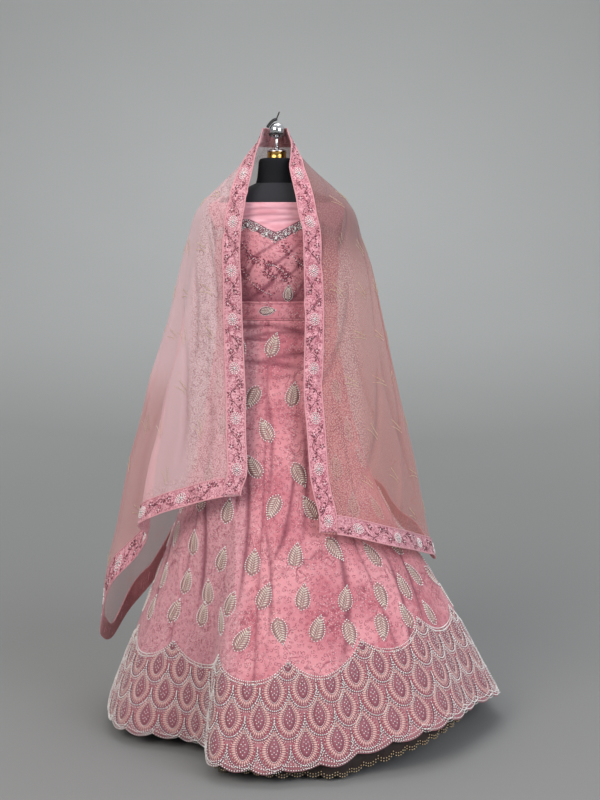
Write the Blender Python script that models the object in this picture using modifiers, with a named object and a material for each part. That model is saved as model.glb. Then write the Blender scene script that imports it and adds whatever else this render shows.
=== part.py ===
"""Lehenga choli with its dupatta, on a limbless dress form with a flat cross base.

The origin is on the floor under the form's axis. +X is the viewer's right, -Y is the front
and +Z is up. Every cloth piece is a wall cut from a grid of points: a ring of cloth is given
by how far it reaches to the left, right, front and back at each height, its folds push that
ring in or out, and pieces that lie on it are made from the same points, moved out.

Angles round the body are in degrees: 0 is the front, 90 the viewer's left, 180 the back and
270 the viewer's right.
"""

import math
from collections import namedtuple

import bmesh
import bpy
import numpy as np

# Gaps and cloth thicknesses
SEAM_GAP = 0.0003
LAYER_GAP = 0.0003
CHOLI_WALL = 0.0015
WAISTBAND_WALL = 0.0030
SKIRT_WALL = 0.0020
UNDER_HEM_WALL = 0.0015
NET_WALL = 0.0010
BORDER_WALL = 0.0014

# Dress form
FORM_COLUMNS = 38
NECK_SEAM_Z = 1.4600
NECK_TOP_Z = 1.5260
NECK_RING_TOP_Z = 1.5430
NECK_CAP_TOP_Z = 1.5510
NECK_RING_RADIUS = 0.0260
NECK_CAP_RADIUS = 0.0268
STEM_RADIUS = 0.0045
BALL_RADIUS = 0.0215
BALL_CENTRE_Z = 1.5990
POLE_RADIUS = 0.0140
HUB_RADIUS = 0.0600
HUB_HEIGHT = 0.0120
SOCKET_RADIUS = 0.0240
SOCKET_TOP_Z = 0.0600
ARM_COUNT = 4
ARM_REACH = 0.4600
ARM_WIDTH = 0.0300
ARM_FIRST_ANGLE = 16.6

# Choli
CHOLI_COLUMNS = 26
CHOLI_BOTTOM_Z = 1.0860
NECK_EDGE_Z = 1.4080
SHOULDER_RISE = 0.0190
SHOULDER_FROM = 58.0
SHOULDER_TO = 80.0
NECK_V_Z = 1.3300
NECK_PEAK_Z = 1.3640
NECK_PEAK_ANGLE = 24.0
SIDE_ANGLE = 90.0
ARMHOLE_BOTTOM_Z = 1.2550
ARMHOLE_TOP_Z = 1.4020
ARMHOLE_CUT = 27.0

# Lehenga
WAIST_TOP_Z = 1.1500
WAIST_SEAM_Z = 1.1000
WAIST_COLUMNS = 80
WAIST_OPENING = 0.0020
KALI_COUNT = 8
KALI_COLUMNS = 20
KALI_FIRST_SEAM = 7.5
SCALLOPS_PER_KALI = 5
SCALLOP_DEPTH = 0.0110
SKIRT_ROWS = (0.0, 0.08, 0.18, 0.30, 0.43, 0.56, 0.69, 0.80, 0.91, 1.0)
UNDER_HEM_TOP_ROW = 6
UNDER_HEM_STEP_IN = 0.0110
UNDER_HEM_SLIT = 322.5

# Dupatta
DUPATTA_TOP_Z = 1.6060
BORDER_WIDTH = 0.0460
BORDER_MAX_TURN = 34.0
DUPATTA_LEFT_COLUMNS = 16
DUPATTA_BACK_COLUMNS = 18
DUPATTA_RIGHT_COLUMNS = 12
LEFT_BACK_CORNER = 104.0
RIGHT_BACK_CORNER = 262.0
CORNER_CLEAR = 12.0
DUPATTA_ROWS = (0.0, 0.022, 0.05, 0.09, 0.135, 0.18, 0.24, 0.33, 0.45, 0.58, 0.71, 0.85, 1.0)
TOP_BORDER_ROW = 2

Form = namedtuple("Form", "z side front back")
FORM_SECTIONS = (
    Form(0.840, 0.160, 0.100, 0.108),
    Form(0.870, 0.168, 0.107, 0.117),
    Form(0.930, 0.170, 0.109, 0.121),
    Form(1.000, 0.160, 0.105, 0.112),
    Form(1.080, 0.141, 0.097, 0.095),
    Form(1.120, 0.134, 0.095, 0.089),
    Form(1.150, 0.137, 0.099, 0.090),
    Form(1.200, 0.148, 0.114, 0.094),
    Form(1.235, 0.157, 0.125, 0.098),
    Form(1.270, 0.163, 0.129, 0.102),
    Form(1.300, 0.168, 0.122, 0.104),
    Form(1.340, 0.174, 0.108, 0.103),
    Form(1.375, 0.178, 0.095, 0.098),
    Form(1.398, 0.172, 0.087, 0.093),
    Form(1.415, 0.152, 0.081, 0.088),
    Form(1.432, 0.118, 0.074, 0.080),
    Form(1.448, 0.082, 0.066, 0.070),
    Form(1.460, 0.058, 0.058, 0.060),
)

# How much wider than the form the choli hangs at each height
Ease = namedtuple("Ease", "z side front back")
CHOLI_EASE = (
    Ease(1.080, 0.0175, 0.0220, 0.0110),
    Ease(1.120, 0.0240, 0.0250, 0.0170),
    Ease(1.150, 0.0220, 0.0220, 0.0160),
    Ease(1.200, 0.0130, 0.0125, 0.0115),
    Ease(1.235, 0.0080, 0.0065, 0.0060),
    Ease(1.270, 0.0055, 0.0020, 0.0030),
    Ease(1.340, 0.0055, 0.0035, 0.0040),
    Ease(1.380, 0.0078, 0.0060, 0.0066),
    Ease(1.410, 0.0098, 0.0080, 0.0080),
    Ease(1.460, 0.0105, 0.0085, 0.0085),
)

# Reach of the skirt from the form's axis at each height
Ring = namedtuple("Ring", "z left right front back")
SKIRT_SECTIONS = (
    Ring(0.000, 0.470, 0.640, 0.538, 0.530),
    Ring(0.050, 0.463, 0.624, 0.526, 0.517),
    Ring(0.140, 0.432, 0.577, 0.490, 0.480),
    Ring(0.235, 0.394, 0.525, 0.450, 0.438),
    Ring(0.320, 0.362, 0.478, 0.414, 0.400),
    Ring(0.440, 0.315, 0.402, 0.362, 0.346),
    Ring(0.560, 0.273, 0.316, 0.310, 0.294),
    Ring(0.660, 0.243, 0.263, 0.266, 0.250),
    Ring(0.785, 0.212, 0.218, 0.212, 0.200),
    Ring(0.900, 0.188, 0.190, 0.168, 0.164),
    Ring(1.000, 0.172, 0.173, 0.140, 0.136),
    Ring(1.100, 0.1608, 0.1608, 0.1216, 0.1100),
    Ring(1.150, 0.1612, 0.1612, 0.1232, 0.1084),
)

# Folds: where, how deep (inwards is negative), how wide on each side, and where they begin
Fold = namedtuple("Fold", "angle depth before after begins")
SKIRT_FOLDS = (
    Fold(33.0, -0.120, 10.0, 23.0, 0.64),
    Fold(352.5, -0.014, 4.0, 4.0, 0.62),
    Fold(338.0, -0.012, 5.0, 6.0, 0.55),
    Fold(318.0, 0.012, 9.0, 9.0, 0.60),
    Fold(296.0, -0.020, 8.0, 8.0, 0.60),
    Fold(262.0, -0.024, 9.0, 11.0, 0.66),
    Fold(228.0, -0.030, 10.0, 10.0, 0.70),
    Fold(200.0, 0.016, 9.0, 9.0, 0.66),
    Fold(176.0, -0.032, 9.0, 12.0, 0.72),
    Fold(140.0, -0.036, 10.0, 10.0, 0.70),
    Fold(100.0, -0.012, 8.0, 8.0, 0.55),
)

# Height of an edge round the body
Edge = namedtuple("Edge", "angle z")
SKIRT_HEM = (
    Edge(0.0, 0.036),
    Edge(20.0, 0.040),
    Edge(60.0, 0.034),
    Edge(90.0, 0.033),
    Edge(180.0, 0.034),
    Edge(250.0, 0.040),
    Edge(268.0, 0.056),
    Edge(284.0, 0.088),
    Edge(300.0, 0.099),
    Edge(312.0, 0.101),
    Edge(326.0, 0.088),
    Edge(338.0, 0.066),
    Edge(350.0, 0.043),
    Edge(360.0, 0.036),
)
UNDER_HEM = (
    Edge(0.0, 0.020),
    Edge(12.0, 0.030),
    Edge(60.0, 0.026),
    Edge(180.0, 0.026),
    Edge(255.0, 0.028),
    Edge(290.0, 0.052),
    Edge(312.0, 0.050),
    Edge(328.0, 0.014),
    Edge(345.0, 0.012),
    Edge(360.0, 0.020),
)
DUPATTA_HEM = (
    Edge(0.0, 0.668),
    Edge(12.0, 0.668),
    Edge(36.0, 0.630),
    Edge(56.0, 0.570),
    Edge(68.0, 0.490),
    Edge(80.0, 0.350),
    Edge(92.0, 0.215),
    Edge(104.0, 0.175),
    Edge(122.0, 0.300),
    Edge(150.0, 0.500),
    Edge(180.0, 0.600),
    Edge(215.0, 0.590),
    Edge(245.0, 0.480),
    Edge(262.0, 0.425),
    Edge(280.0, 0.462),
    Edge(310.0, 0.520),
    Edge(345.0, 0.578),
    Edge(360.0, 0.580),
)

DUPATTA_SECTIONS = (
    Ring(0.150, 0.498, 0.480, 0.480, 0.480),
    Ring(0.193, 0.492, 0.474, 0.466, 0.470),
    Ring(0.298, 0.474, 0.456, 0.430, 0.432),
    Ring(0.418, 0.463, 0.438, 0.392, 0.392),
    Ring(0.541, 0.434, 0.409, 0.350, 0.348),
    Ring(0.614, 0.420, 0.395, 0.325, 0.322),
    Ring(0.712, 0.401, 0.376, 0.287, 0.286),
    Ring(0.830, 0.369, 0.348, 0.243, 0.252),
    Ring(0.918, 0.349, 0.327, 0.215, 0.228),
    Ring(1.019, 0.315, 0.304, 0.192, 0.204),
    Ring(1.125, 0.287, 0.281, 0.178, 0.180),
    Ring(1.240, 0.260, 0.255, 0.168, 0.162),
    Ring(1.315, 0.239, 0.228, 0.156, 0.150),
    Ring(1.377, 0.220, 0.211, 0.140, 0.136),
    Ring(1.411, 0.198, 0.190, 0.126, 0.122),
    Ring(1.451, 0.157, 0.150, 0.102, 0.104),
    Ring(1.493, 0.114, 0.102, 0.078, 0.082),
    Ring(1.538, 0.074, 0.060, 0.050, 0.058),
    Ring(1.569, 0.049, 0.042, 0.032, 0.040),
    Ring(1.590, 0.040, 0.031, 0.016, 0.028),
    Ring(1.600, 0.036, 0.027, 0.010, 0.0224),
    Ring(1.606, 0.035, 0.026, 0.008, 0.0209),
)

# Where the two front edges of the dupatta hang
FrontEdge = namedtuple("FrontEdge", "z left right")
DUPATTA_FRONT_EDGES = (
    FrontEdge(0.560, 11.5, 344.5),
    FrontEdge(0.580, 11.5, 344.0),
    FrontEdge(0.611, 11.5, 343.8),
    FrontEdge(0.674, 12.2, 345.6),
    FrontEdge(0.722, 10.4, 346.6),
    FrontEdge(0.821, 11.8, 346.8),
    FrontEdge(0.916, 12.8, 347.3),
    FrontEdge(1.013, 15.0, 346.2),
    FrontEdge(1.125, 17.6, 344.6),
    FrontEdge(1.208, 19.4, 344.0),
    FrontEdge(1.259, 21.1, 343.4),
    FrontEdge(1.327, 22.5, 342.0),
    FrontEdge(1.387, 22.4, 344.2),
    FrontEdge(1.439, 25.8, 343.4),
    FrontEdge(1.495, 33.0, 340.0),
    FrontEdge(1.538, 46.0, 322.0),
    FrontEdge(1.569, 62.0, 300.0),
    FrontEdge(1.606, 84.0, 276.0),
)
DUPATTA_FOLDS = (
    Fold(54.0, 0.010, 6.0, 5.0, 1.36),
    Fold(67.0, -0.058, 8.0, 8.0, 1.38),
    Fold(34.0, -0.010, 6.0, 6.0, 1.34),
    Fold(88.0, 0.006, 7.0, 7.0, 1.20),
    Fold(126.0, -0.026, 9.0, 9.0, 1.34),
    Fold(150.0, 0.016, 8.0, 8.0, 1.30),
    Fold(170.0, -0.022, 8.0, 8.0, 1.32),
    Fold(192.0, 0.014, 8.0, 8.0, 1.30),
    Fold(212.0, -0.022, 8.0, 8.0, 1.32),
    Fold(240.0, -0.020, 8.0, 8.0, 1.30),
    Fold(292.0, -0.010, 7.0, 7.0, 1.30),
    Fold(316.0, 0.008, 7.0, 7.0, 1.20),
)
FOLD_GROWTH = 1.2

Surface = namedtuple("Surface", "points normals closed")

# Colour, roughness and metallic value of each material
Finish = namedtuple("Finish", "colour roughness metallic")
FINISHES = {
    "rose_net_embroidered": Finish((0.46, 0.15, 0.19), 0.75, 0.0),
    "rose_yoke": Finish((0.70, 0.32, 0.36), 0.6, 0.0),
    "brown_under_layer": Finish((0.06, 0.03, 0.025), 0.7, 0.0),
    "dupatta_net": Finish((0.50, 0.25, 0.28), 0.6, 0.0),
    "border_velvet": Finish((0.48, 0.14, 0.20), 0.8, 0.0),
    "charcoal_jersey": Finish((0.07, 0.07, 0.075), 0.85, 0.0),
    "black_jersey": Finish((0.015, 0.015, 0.017), 0.8, 0.0),
    "chrome": Finish((0.8, 0.8, 0.8), 0.12, 1.0),
    "gold_plate": Finish((0.75, 0.55, 0.25), 0.2, 1.0),
    "black_steel": Finish((0.03, 0.03, 0.03), 0.5, 0.4),
}


def clear_scene():
    """Remove whatever the scene holds."""
    for old in list(bpy.data.objects):
        bpy.data.objects.remove(old, do_unlink=True)


def make_material(name):
    """One Principled material from the table of finishes."""
    finish = FINISHES[name]
    material = bpy.data.materials.get(name) or bpy.data.materials.new(name)
    material.use_nodes = True
    shader = material.node_tree.nodes["Principled BSDF"]
    shader.inputs["Base Color"].default_value = (*finish.colour, 1.0)
    shader.inputs["Roughness"].default_value = finish.roughness
    shader.inputs["Metallic"].default_value = finish.metallic
    return material


def add_object(name, data, finish, parts):
    """Put a mesh or curve into the collection as one named piece."""
    piece = bpy.data.objects.new(name, data)
    piece.data.materials.append(make_material(finish))
    parts.objects.link(piece)
    return piece


def smooth_curve(known, values, at):
    """A cubic through the known values that never overshoots between two of them."""
    known = np.asarray(known, float)
    values = np.asarray(values, float)
    at = np.clip(at, known[0], known[-1])
    step = np.diff(known)
    slope = np.diff(values) / step
    tangent = np.concatenate(([slope[0]], np.zeros(len(slope) - 1), [slope[-1]]))
    before, after = slope[:-1], slope[1:]
    same_way = before * after > 0
    wide = 2 * step[1:] + step[:-1]
    narrow = step[1:] + 2 * step[:-1]
    safe_before = np.where(same_way, before, 1.0)
    safe_after = np.where(same_way, after, 1.0)
    mean = (wide + narrow) / (wide / safe_before + narrow / safe_after)
    tangent[1:-1] = np.where(same_way, mean, 0.0)
    cell = np.clip(np.searchsorted(known, at, side="right") - 1, 0, len(step) - 1)
    width = step[cell]
    t = (at - known[cell]) / width
    return ((2 * t**3 - 3 * t**2 + 1) * values[cell] + (t**3 - 2 * t**2 + t) * width * tangent[cell]
            + (3 * t**2 - 2 * t**3) * values[cell + 1] + (t**3 - t**2) * width * tangent[cell + 1])


def column(table, field, key, at):
    """Read one column of a table at the given values of its key column."""
    return smooth_curve([getattr(row, key) for row in table], [getattr(row, field) for row in table], at)


def ease_step(value, start, end):
    """0 before start, 1 after end and a smooth rise between."""
    t = np.clip((value - start) / (end - start), 0.0, 1.0)
    return t * t * (3 - 2 * t)


def ring(angle, z, left, right, front, back):
    """Points of a ring of four quarter ellipses: one reach to each side."""
    turn = np.radians(angle)
    sine, cosine = np.sin(turn), np.cos(turn)
    x = -sine * np.where(sine > 0, left, right)
    y = -cosine * np.where(cosine > 0, front, back)
    return np.stack([x, y, z + 0 * x], axis=-1)


def section_ring(table, angle, z):
    """The ring of a table with the four reaches, at each angle and height."""
    reaches = [column(table, field, "z", z) for field in ("left", "right", "front", "back")]
    return ring(angle, z, *reaches)


def fold_depth(folds, angle, z, lowest):
    """How far the folds push the cloth out at each angle; each grows from where it begins."""
    total = np.zeros(np.broadcast(angle, z).shape)
    for fold in folds:
        away = (np.asarray(angle) - fold.angle + 180.0) % 360.0 - 180.0
        spread = np.where(away < 0, fold.before, fold.after)
        grown = np.clip((fold.begins - z) / (fold.begins - lowest), 0.0, 1.0) ** FOLD_GROWTH
        total = total + fold.depth * np.exp(-np.abs(away / spread) ** 3) * grown
    return total


def push_out(points, distance):
    """Move points level, straight away from the axis."""
    flat = points[..., :2]
    length = np.linalg.norm(flat, axis=-1, keepdims=True)
    moved = points.copy()
    moved[..., :2] = flat * (1 + distance[..., None] / length)
    return moved


def make_surface(points, closed):
    """A grid of points, rows from top to bottom, with the outward normal at each."""
    along = np.gradient(points, axis=1)
    if closed:
        along = np.roll(points, -1, axis=1) - np.roll(points, 1, axis=1)
    down = np.gradient(points, axis=0)
    normals = np.cross(along, down)
    normals /= np.linalg.norm(normals, axis=-1, keepdims=True)
    return Surface(points, normals, closed)


def draw_in(points, edge, neighbour, distance):
    """Shorten a block of cloth at one edge, towards the next line of points."""
    run = points[neighbour] - points[edge]
    points[edge] += run * distance / np.linalg.norm(run, axis=-1, keepdims=True)


def cloth_piece(name, surface, rows, columns, lift, wall, finish, parts, gap=SEAM_GAP):
    """Cut a block out of a surface's grid and give it a wall, lifted off the surface."""
    row_ids = np.arange(rows[0], rows[1] + 1)
    column_ids = np.arange(columns[0], columns[1] + 1)
    if surface.closed:
        column_ids = column_ids % surface.points.shape[1]
    points = surface.points[row_ids][:, column_ids].copy()
    normals = surface.normals[row_ids][:, column_ids]
    sideways = points.transpose(1, 0, 2)
    for block in (points, sideways):
        draw_in(block, 0, 1, gap / 2)
        draw_in(block, -1, -2, gap / 2)
    inner = points + normals * lift
    outer = points + normals * (lift + wall)
    return wall_between(name, inner, outer, finish, parts)


def wall_between(name, inner, outer, finish, parts):
    """Loft a closed wall between two grids of the same size."""
    rows, columns = inner.shape[:2]
    count = rows * columns
    index = np.arange(count).reshape(rows, columns)
    a, b = index[:-1, :-1].ravel(), index[:-1, 1:].ravel()
    c, d = index[1:, :-1].ravel(), index[1:, 1:].ravel()
    skin = np.concatenate([np.stack([a, b, d], 1), np.stack([a, d, c], 1)])
    rim = np.concatenate([index[0, :], index[1:, -1], index[-1, -2::-1], index[-2:0:-1, 0]])
    ahead = np.roll(rim, -1)
    faces = skin.tolist() + (skin[:, ::-1] + count).tolist()
    faces += np.stack([rim, rim + count, ahead + count, ahead], 1).tolist()
    mesh = bpy.data.meshes.new(name)
    vertices = np.concatenate([outer.reshape(-1, 3), inner.reshape(-1, 3)])
    mesh.from_pydata(vertices.tolist(), [], faces)
    return finish_mesh(name, mesh, finish, parts)


def finish_mesh(name, mesh, finish, parts):
    """Point the faces outwards, shade the mesh smooth and add it."""
    shape = bmesh.new()
    shape.from_mesh(mesh)
    bmesh.ops.recalc_face_normals(shape, faces=shape.faces)
    shape.to_mesh(mesh)
    shape.free()
    mesh.shade_smooth()
    mesh.set_sharp_from_angle(angle=math.radians(40))
    return add_object(name, mesh, finish, parts)


def turned(name, profile, finish, parts, steps=24):
    """Turn a profile of (radius, height) points, top to bottom, round the axis."""
    mesh = bpy.data.meshes.new(name)
    edges = [(i, i + 1) for i in range(len(profile) - 1)]
    mesh.from_pydata([(radius, 0.0, height) for radius, height in profile], edges, [])
    piece = add_object(name, mesh, finish, parts)
    screw = piece.modifiers.new("Turn", "SCREW")
    screw.steps = steps
    screw.render_steps = steps
    screw.use_merge_vertices = True
    screw.merge_threshold = 0.0001
    screw.use_smooth_shade = True
    return piece


def form_body(parts):
    """The limbless torso: stacked rings from the hips to the neck seam, closed at both ends."""
    angles = np.linspace(0, 360, FORM_COLUMNS, endpoint=False)
    shape = bmesh.new()
    loops = []
    for row in FORM_SECTIONS:
        points = ring(angles, row.z, row.side, row.side, row.front, row.back)
        loops.append([shape.verts.new(point) for point in points])
    for low, high in zip(loops, loops[1:]):
        for i in range(FORM_COLUMNS):
            j = (i + 1) % FORM_COLUMNS
            shape.faces.new((low[i], high[i], high[j], low[j]))
    shape.faces.new(loops[0])
    shape.faces.new(loops[-1])
    mesh = bpy.data.meshes.new("form_torso")
    shape.to_mesh(mesh)
    shape.free()
    finish_mesh("form_torso", mesh, "charcoal_jersey", parts)


def form_top(parts):
    """Neck, gold ring, chrome cap, stem and ball, one above the other."""
    gap = SEAM_GAP
    foot = NECK_SEAM_Z + gap
    turned("form_neck", [(0.0, NECK_TOP_Z), (0.040, NECK_TOP_Z), (0.0455, NECK_TOP_Z - 0.003),
                         (0.0485, NECK_TOP_Z - 0.010), (0.0500, NECK_TOP_Z - 0.025),
                         (0.0525, foot + 0.014), (0.0560, foot), (0.0, foot)], "black_jersey", parts)
    turned("neck_ring", [(0.0, NECK_RING_TOP_Z), (NECK_RING_RADIUS - 0.001, NECK_RING_TOP_Z),
                         (NECK_RING_RADIUS, NECK_RING_TOP_Z - 0.001),
                         (NECK_RING_RADIUS, NECK_TOP_Z + gap + 0.001),
                         (NECK_RING_RADIUS - 0.001, NECK_TOP_Z + gap), (0.0, NECK_TOP_Z + gap)],
           "gold_plate", parts)
    low = NECK_RING_TOP_Z + gap
    turned("neck_cap", [(0.0, NECK_CAP_TOP_Z), (STEM_RADIUS + 0.002, NECK_CAP_TOP_Z),
                        (NECK_CAP_RADIUS - 0.007, NECK_CAP_TOP_Z - 0.002),
                        (NECK_CAP_RADIUS - 0.0015, NECK_CAP_TOP_Z - 0.0045),
                        (NECK_CAP_RADIUS, low + 0.0015), (NECK_CAP_RADIUS - 0.0008, low), (0.0, low)],
           "chrome", parts)
    turned("finial_stem", [(0.0, BALL_CENTRE_Z - BALL_RADIUS - gap),
                           (STEM_RADIUS, BALL_CENTRE_Z - BALL_RADIUS - gap),
                           (STEM_RADIUS, NECK_CAP_TOP_Z + gap), (0.0, NECK_CAP_TOP_Z + gap)],
           "chrome", parts, steps=16)
    ball = bpy.data.meshes.new("finial_ball")
    shape = bmesh.new()
    bmesh.ops.create_uvsphere(shape, u_segments=20, v_segments=12, radius=BALL_RADIUS)
    shape.to_mesh(ball)
    shape.free()
    piece = finish_mesh("finial_ball", ball, "chrome", parts)
    piece.location.z = BALL_CENTRE_Z


def stand(parts):
    """Pole, hub and flat arms that lie on the floor; the first arm's tip shows at the front."""
    top = FORM_SECTIONS[0].z - SEAM_GAP
    low = SOCKET_TOP_Z + SEAM_GAP
    turned("stand_pole", [(0.0, top), (POLE_RADIUS, top), (POLE_RADIUS, low), (0.0, low)],
           "chrome", parts, steps=20)
    turned("base_hub", [(0.0, SOCKET_TOP_Z), (SOCKET_RADIUS - 0.004, SOCKET_TOP_Z),
                        (SOCKET_RADIUS, SOCKET_TOP_Z - 0.006), (SOCKET_RADIUS + 0.002, HUB_HEIGHT + 0.01),
                        (SOCKET_RADIUS + 0.012, HUB_HEIGHT), (HUB_RADIUS, HUB_HEIGHT),
                        (HUB_RADIUS, 0.0), (0.0, 0.0)], "black_steel", parts)
    start = HUB_RADIUS + SEAM_GAP
    half = ARM_WIDTH / 2
    tip = [(ARM_REACH - half + half * math.cos(turn), half * math.sin(turn))
           for turn in np.linspace(-math.pi / 2, math.pi / 2, 9)]
    outline = [(start, -half)] + tip + [(start, half)]
    for number in range(ARM_COUNT):
        curve = bpy.data.curves.new(f"base_arm_{number + 1}", "CURVE")
        curve.dimensions = "2D"
        curve.fill_mode = "BOTH"
        curve.extrude = HUB_HEIGHT / 2
        spline = curve.splines.new("POLY")
        spline.points.add(len(outline) - 1)
        for point, (along, across) in zip(spline.points, outline):
            point.co = (along, across, 0.0, 1.0)
        spline.use_cyclic_u = True
        arm = add_object(curve.name, curve, "black_steel", parts)
        arm.location.z = HUB_HEIGHT / 2
        arm.rotation_euler.z = math.radians(270.0 - ARM_FIRST_ANGLE - 360.0 / ARM_COUNT * number)


def choli_ring(angle, z):
    """The choli's cloth: the form's own ring plus its ease."""
    reach = {field: column(FORM_SECTIONS, field, "z", z) + column(CHOLI_EASE, field, "z", z)
             for field in ("side", "front", "back")}
    return ring(angle, z, reach["side"], reach["side"], reach["front"], reach["back"])


def neck_edge(angle):
    """Straight across the chest and back, rising over each shoulder."""
    from_front = np.abs((angle + 180.0) % 360.0 - 180.0)
    from_side = 90.0 - np.abs(from_front - 90.0)
    return NECK_EDGE_Z + SHOULDER_RISE * ease_step(from_side, SHOULDER_FROM, SHOULDER_TO)


def sweetheart_edge(angle):
    """A V at the centre front that rises to a rounded peak over each cup."""
    away = np.abs((angle + 180.0) % 360.0 - 180.0)
    rise = ease_step(away, 0.0, NECK_PEAK_ANGLE)
    fall = ease_step(away, NECK_PEAK_ANGLE, 62.0)
    return NECK_V_Z + (NECK_PEAK_Z - NECK_V_Z) * (0.45 * away / NECK_PEAK_ANGLE * (away < NECK_PEAK_ANGLE)
                                                  + 0.45 * (away >= NECK_PEAK_ANGLE) + 0.55 * rise
                                                  - 0.75 * fall)


def armhole(z):
    """How many degrees the armhole cuts in at a height."""
    t = np.clip((z - ARMHOLE_BOTTOM_Z) / (ARMHOLE_TOP_Z - ARMHOLE_BOTTOM_Z), 0.0, 1.0)
    return ARMHOLE_CUT * np.sin(math.pi * t) ** 0.7


def choli_surface(centre, top, bottom, rows):
    """A front or back of the choli between two edges, narrowed by the armholes."""
    across = np.linspace(-1, 1, CHOLI_COLUMNS + 1)[None, :]
    down = np.asarray(rows)[:, None]
    angle = centre + across * SIDE_ANGLE
    for _ in range(4):
        high = top(angle)
        low = bottom(angle)
        z = high + (low - high) * down
        angle = centre + across * (SIDE_ANGLE - armhole(z))
    return make_surface(choli_ring(angle, z), closed=False)


def choli(parts):
    """Front body, plain yoke above its sweetheart edge, and back."""
    hem = lambda angle: CHOLI_BOTTOM_Z + 0 * angle
    body_rows = (0.0, 0.1, 0.21, 0.32, 0.44, 0.56, 0.68, 0.84, 1.0)
    back_rows = (0.0, 0.05, 0.11, 0.19, 0.28, 0.39, 0.51, 0.65, 0.82, 1.0)
    front = choli_surface(0.0, sweetheart_edge, hem, body_rows)
    yoke = choli_surface(0.0, neck_edge, sweetheart_edge, (0.0, 0.3, 0.65, 1.0))
    back = choli_surface(180.0, neck_edge, hem, back_rows)
    for name, surface, finish in (("choli_front", front, "rose_net_embroidered"),
                                  ("choli_yoke", yoke, "rose_yoke"),
                                  ("choli_back", back, "rose_net_embroidered")):
        rows, columns = surface.points.shape[:2]
        cloth_piece(name, surface, (0, rows - 1), (0, columns - 1), 0.0, CHOLI_WALL, finish, parts)


def skirt_points(angle, z):
    """The skirt's cloth at each angle and height, folds and all."""
    points = section_ring(SKIRT_SECTIONS, angle, z)
    return push_out(points, fold_depth(SKIRT_FOLDS, angle, z, 0.03))


def skirt_surface():
    """The whole skirt as one grid; its last row is the scalloped hem."""
    columns = KALI_COUNT * KALI_COLUMNS
    angle = (KALI_FIRST_SEAM + np.arange(columns) * 360.0 / columns)[None, :]
    hem = column(SKIRT_HEM, "z", "angle", angle % 360.0)
    scallop = np.abs(np.sin(np.pi * SCALLOPS_PER_KALI * np.arange(columns) / KALI_COLUMNS))
    down = np.asarray(SKIRT_ROWS)[:, None]
    z = WAIST_SEAM_Z + (hem - WAIST_SEAM_Z) * down
    z[-1] += SCALLOP_DEPTH * (0.5 - scallop)
    return make_surface(skirt_points(angle, z), closed=True)


def lehenga(parts):
    """Waistband, flared panels and the dark under-layer of the hem."""
    turn = np.linspace(90.0, 450.0, WAIST_COLUMNS + 1)[None, :]
    height = np.array([WAIST_TOP_Z, WAIST_SEAM_Z])[:, None]
    band = make_surface(section_ring(SKIRT_SECTIONS, turn, height), closed=False)
    cloth_piece("waistband", band, (0, 1), (0, WAIST_COLUMNS), 0.0, WAISTBAND_WALL,
                "rose_net_embroidered", parts, gap=WAIST_OPENING)

    skirt = skirt_surface()
    last = len(SKIRT_ROWS) - 1
    for number in range(KALI_COUNT):
        first = number * KALI_COLUMNS
        cloth_piece(f"kali_{number + 1}", skirt, (0, last), (first, first + KALI_COLUMNS), 0.0,
                    SKIRT_WALL, "rose_net_embroidered", parts)
    under_hem(skirt, parts)


def under_hem(skirt, parts):
    """The under-layer hangs from the inside of the panels and falls a little inside the hem."""
    columns = skirt.points.shape[1]
    angle = (KALI_FIRST_SEAM + np.arange(columns) * 360.0 / columns) % 360.0
    points = skirt.points[UNDER_HEM_TOP_ROW:].copy()
    edge = column(UNDER_HEM, "z", "angle", angle)
    edge = edge - 0.4 * SCALLOP_DEPTH * np.abs(np.sin(np.pi * np.arange(columns) / 4))
    points[-1, :, 2] = edge
    step = np.sqrt(np.arange(len(points)))[:, None, None] * UNDER_HEM_STEP_IN
    points = points - skirt.normals[UNDER_HEM_TOP_ROW:] * (LAYER_GAP + UNDER_HEM_WALL + step)
    every_other = make_surface(every_other_column(points), closed=True)
    half = columns // 2
    slit = int(round((UNDER_HEM_SLIT - KALI_FIRST_SEAM) / 360.0 * half))
    for number, (start, stop) in enumerate(((slit - half, slit - half // 2), (slit - half // 2, slit))):
        cloth_piece(f"under_hem_{number + 1}", every_other, (0, len(points) - 1), (start, stop), 0.0,
                    UNDER_HEM_WALL, "brown_under_layer", parts, gap=0.004)


def every_other_column(points):
    """Keep every other column of a ring, drawn in where the cloth between them is hollow."""
    reach = np.linalg.norm(points[..., :2], axis=-1)
    hollow = np.maximum(0.0, (np.roll(reach, 1, axis=1) + np.roll(reach, -1, axis=1)) / 2 - reach)
    draw = np.maximum(np.roll(hollow, 1, axis=1), np.roll(hollow, -1, axis=1))
    return push_out(points, -draw)[:, ::2]


def dupatta_surface():
    """The net sheet: hung from behind the ball, over the shoulders, open at the front."""
    down = np.asarray(DUPATTA_ROWS)[:, None]
    counts = (DUPATTA_LEFT_COLUMNS, DUPATTA_BACK_COLUMNS, DUPATTA_RIGHT_COLUMNS)
    corners = (LEFT_BACK_CORNER, RIGHT_BACK_CORNER)
    share = np.linspace(0, 1, sum(counts) + 1)
    z = DUPATTA_TOP_Z + (0.6 - DUPATTA_TOP_Z) * down + 0 * share[None, :]
    for _ in range(12):
        angle = dupatta_angles(z, counts, corners)
        low = column(DUPATTA_HEM, "z", "angle", angle)
        lowest = low[-1:, :]
        z = DUPATTA_TOP_Z + (lowest - DUPATTA_TOP_Z) * down
        z[-2] = np.minimum(lowest[0] + border_rise(angle[-1], lowest[0]), z[-3] - 0.02)
    points = push_out(section_ring(DUPATTA_SECTIONS, angle, z),
                      fold_depth(DUPATTA_FOLDS, angle, z, 0.55))
    return make_surface(points, closed=False)


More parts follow.
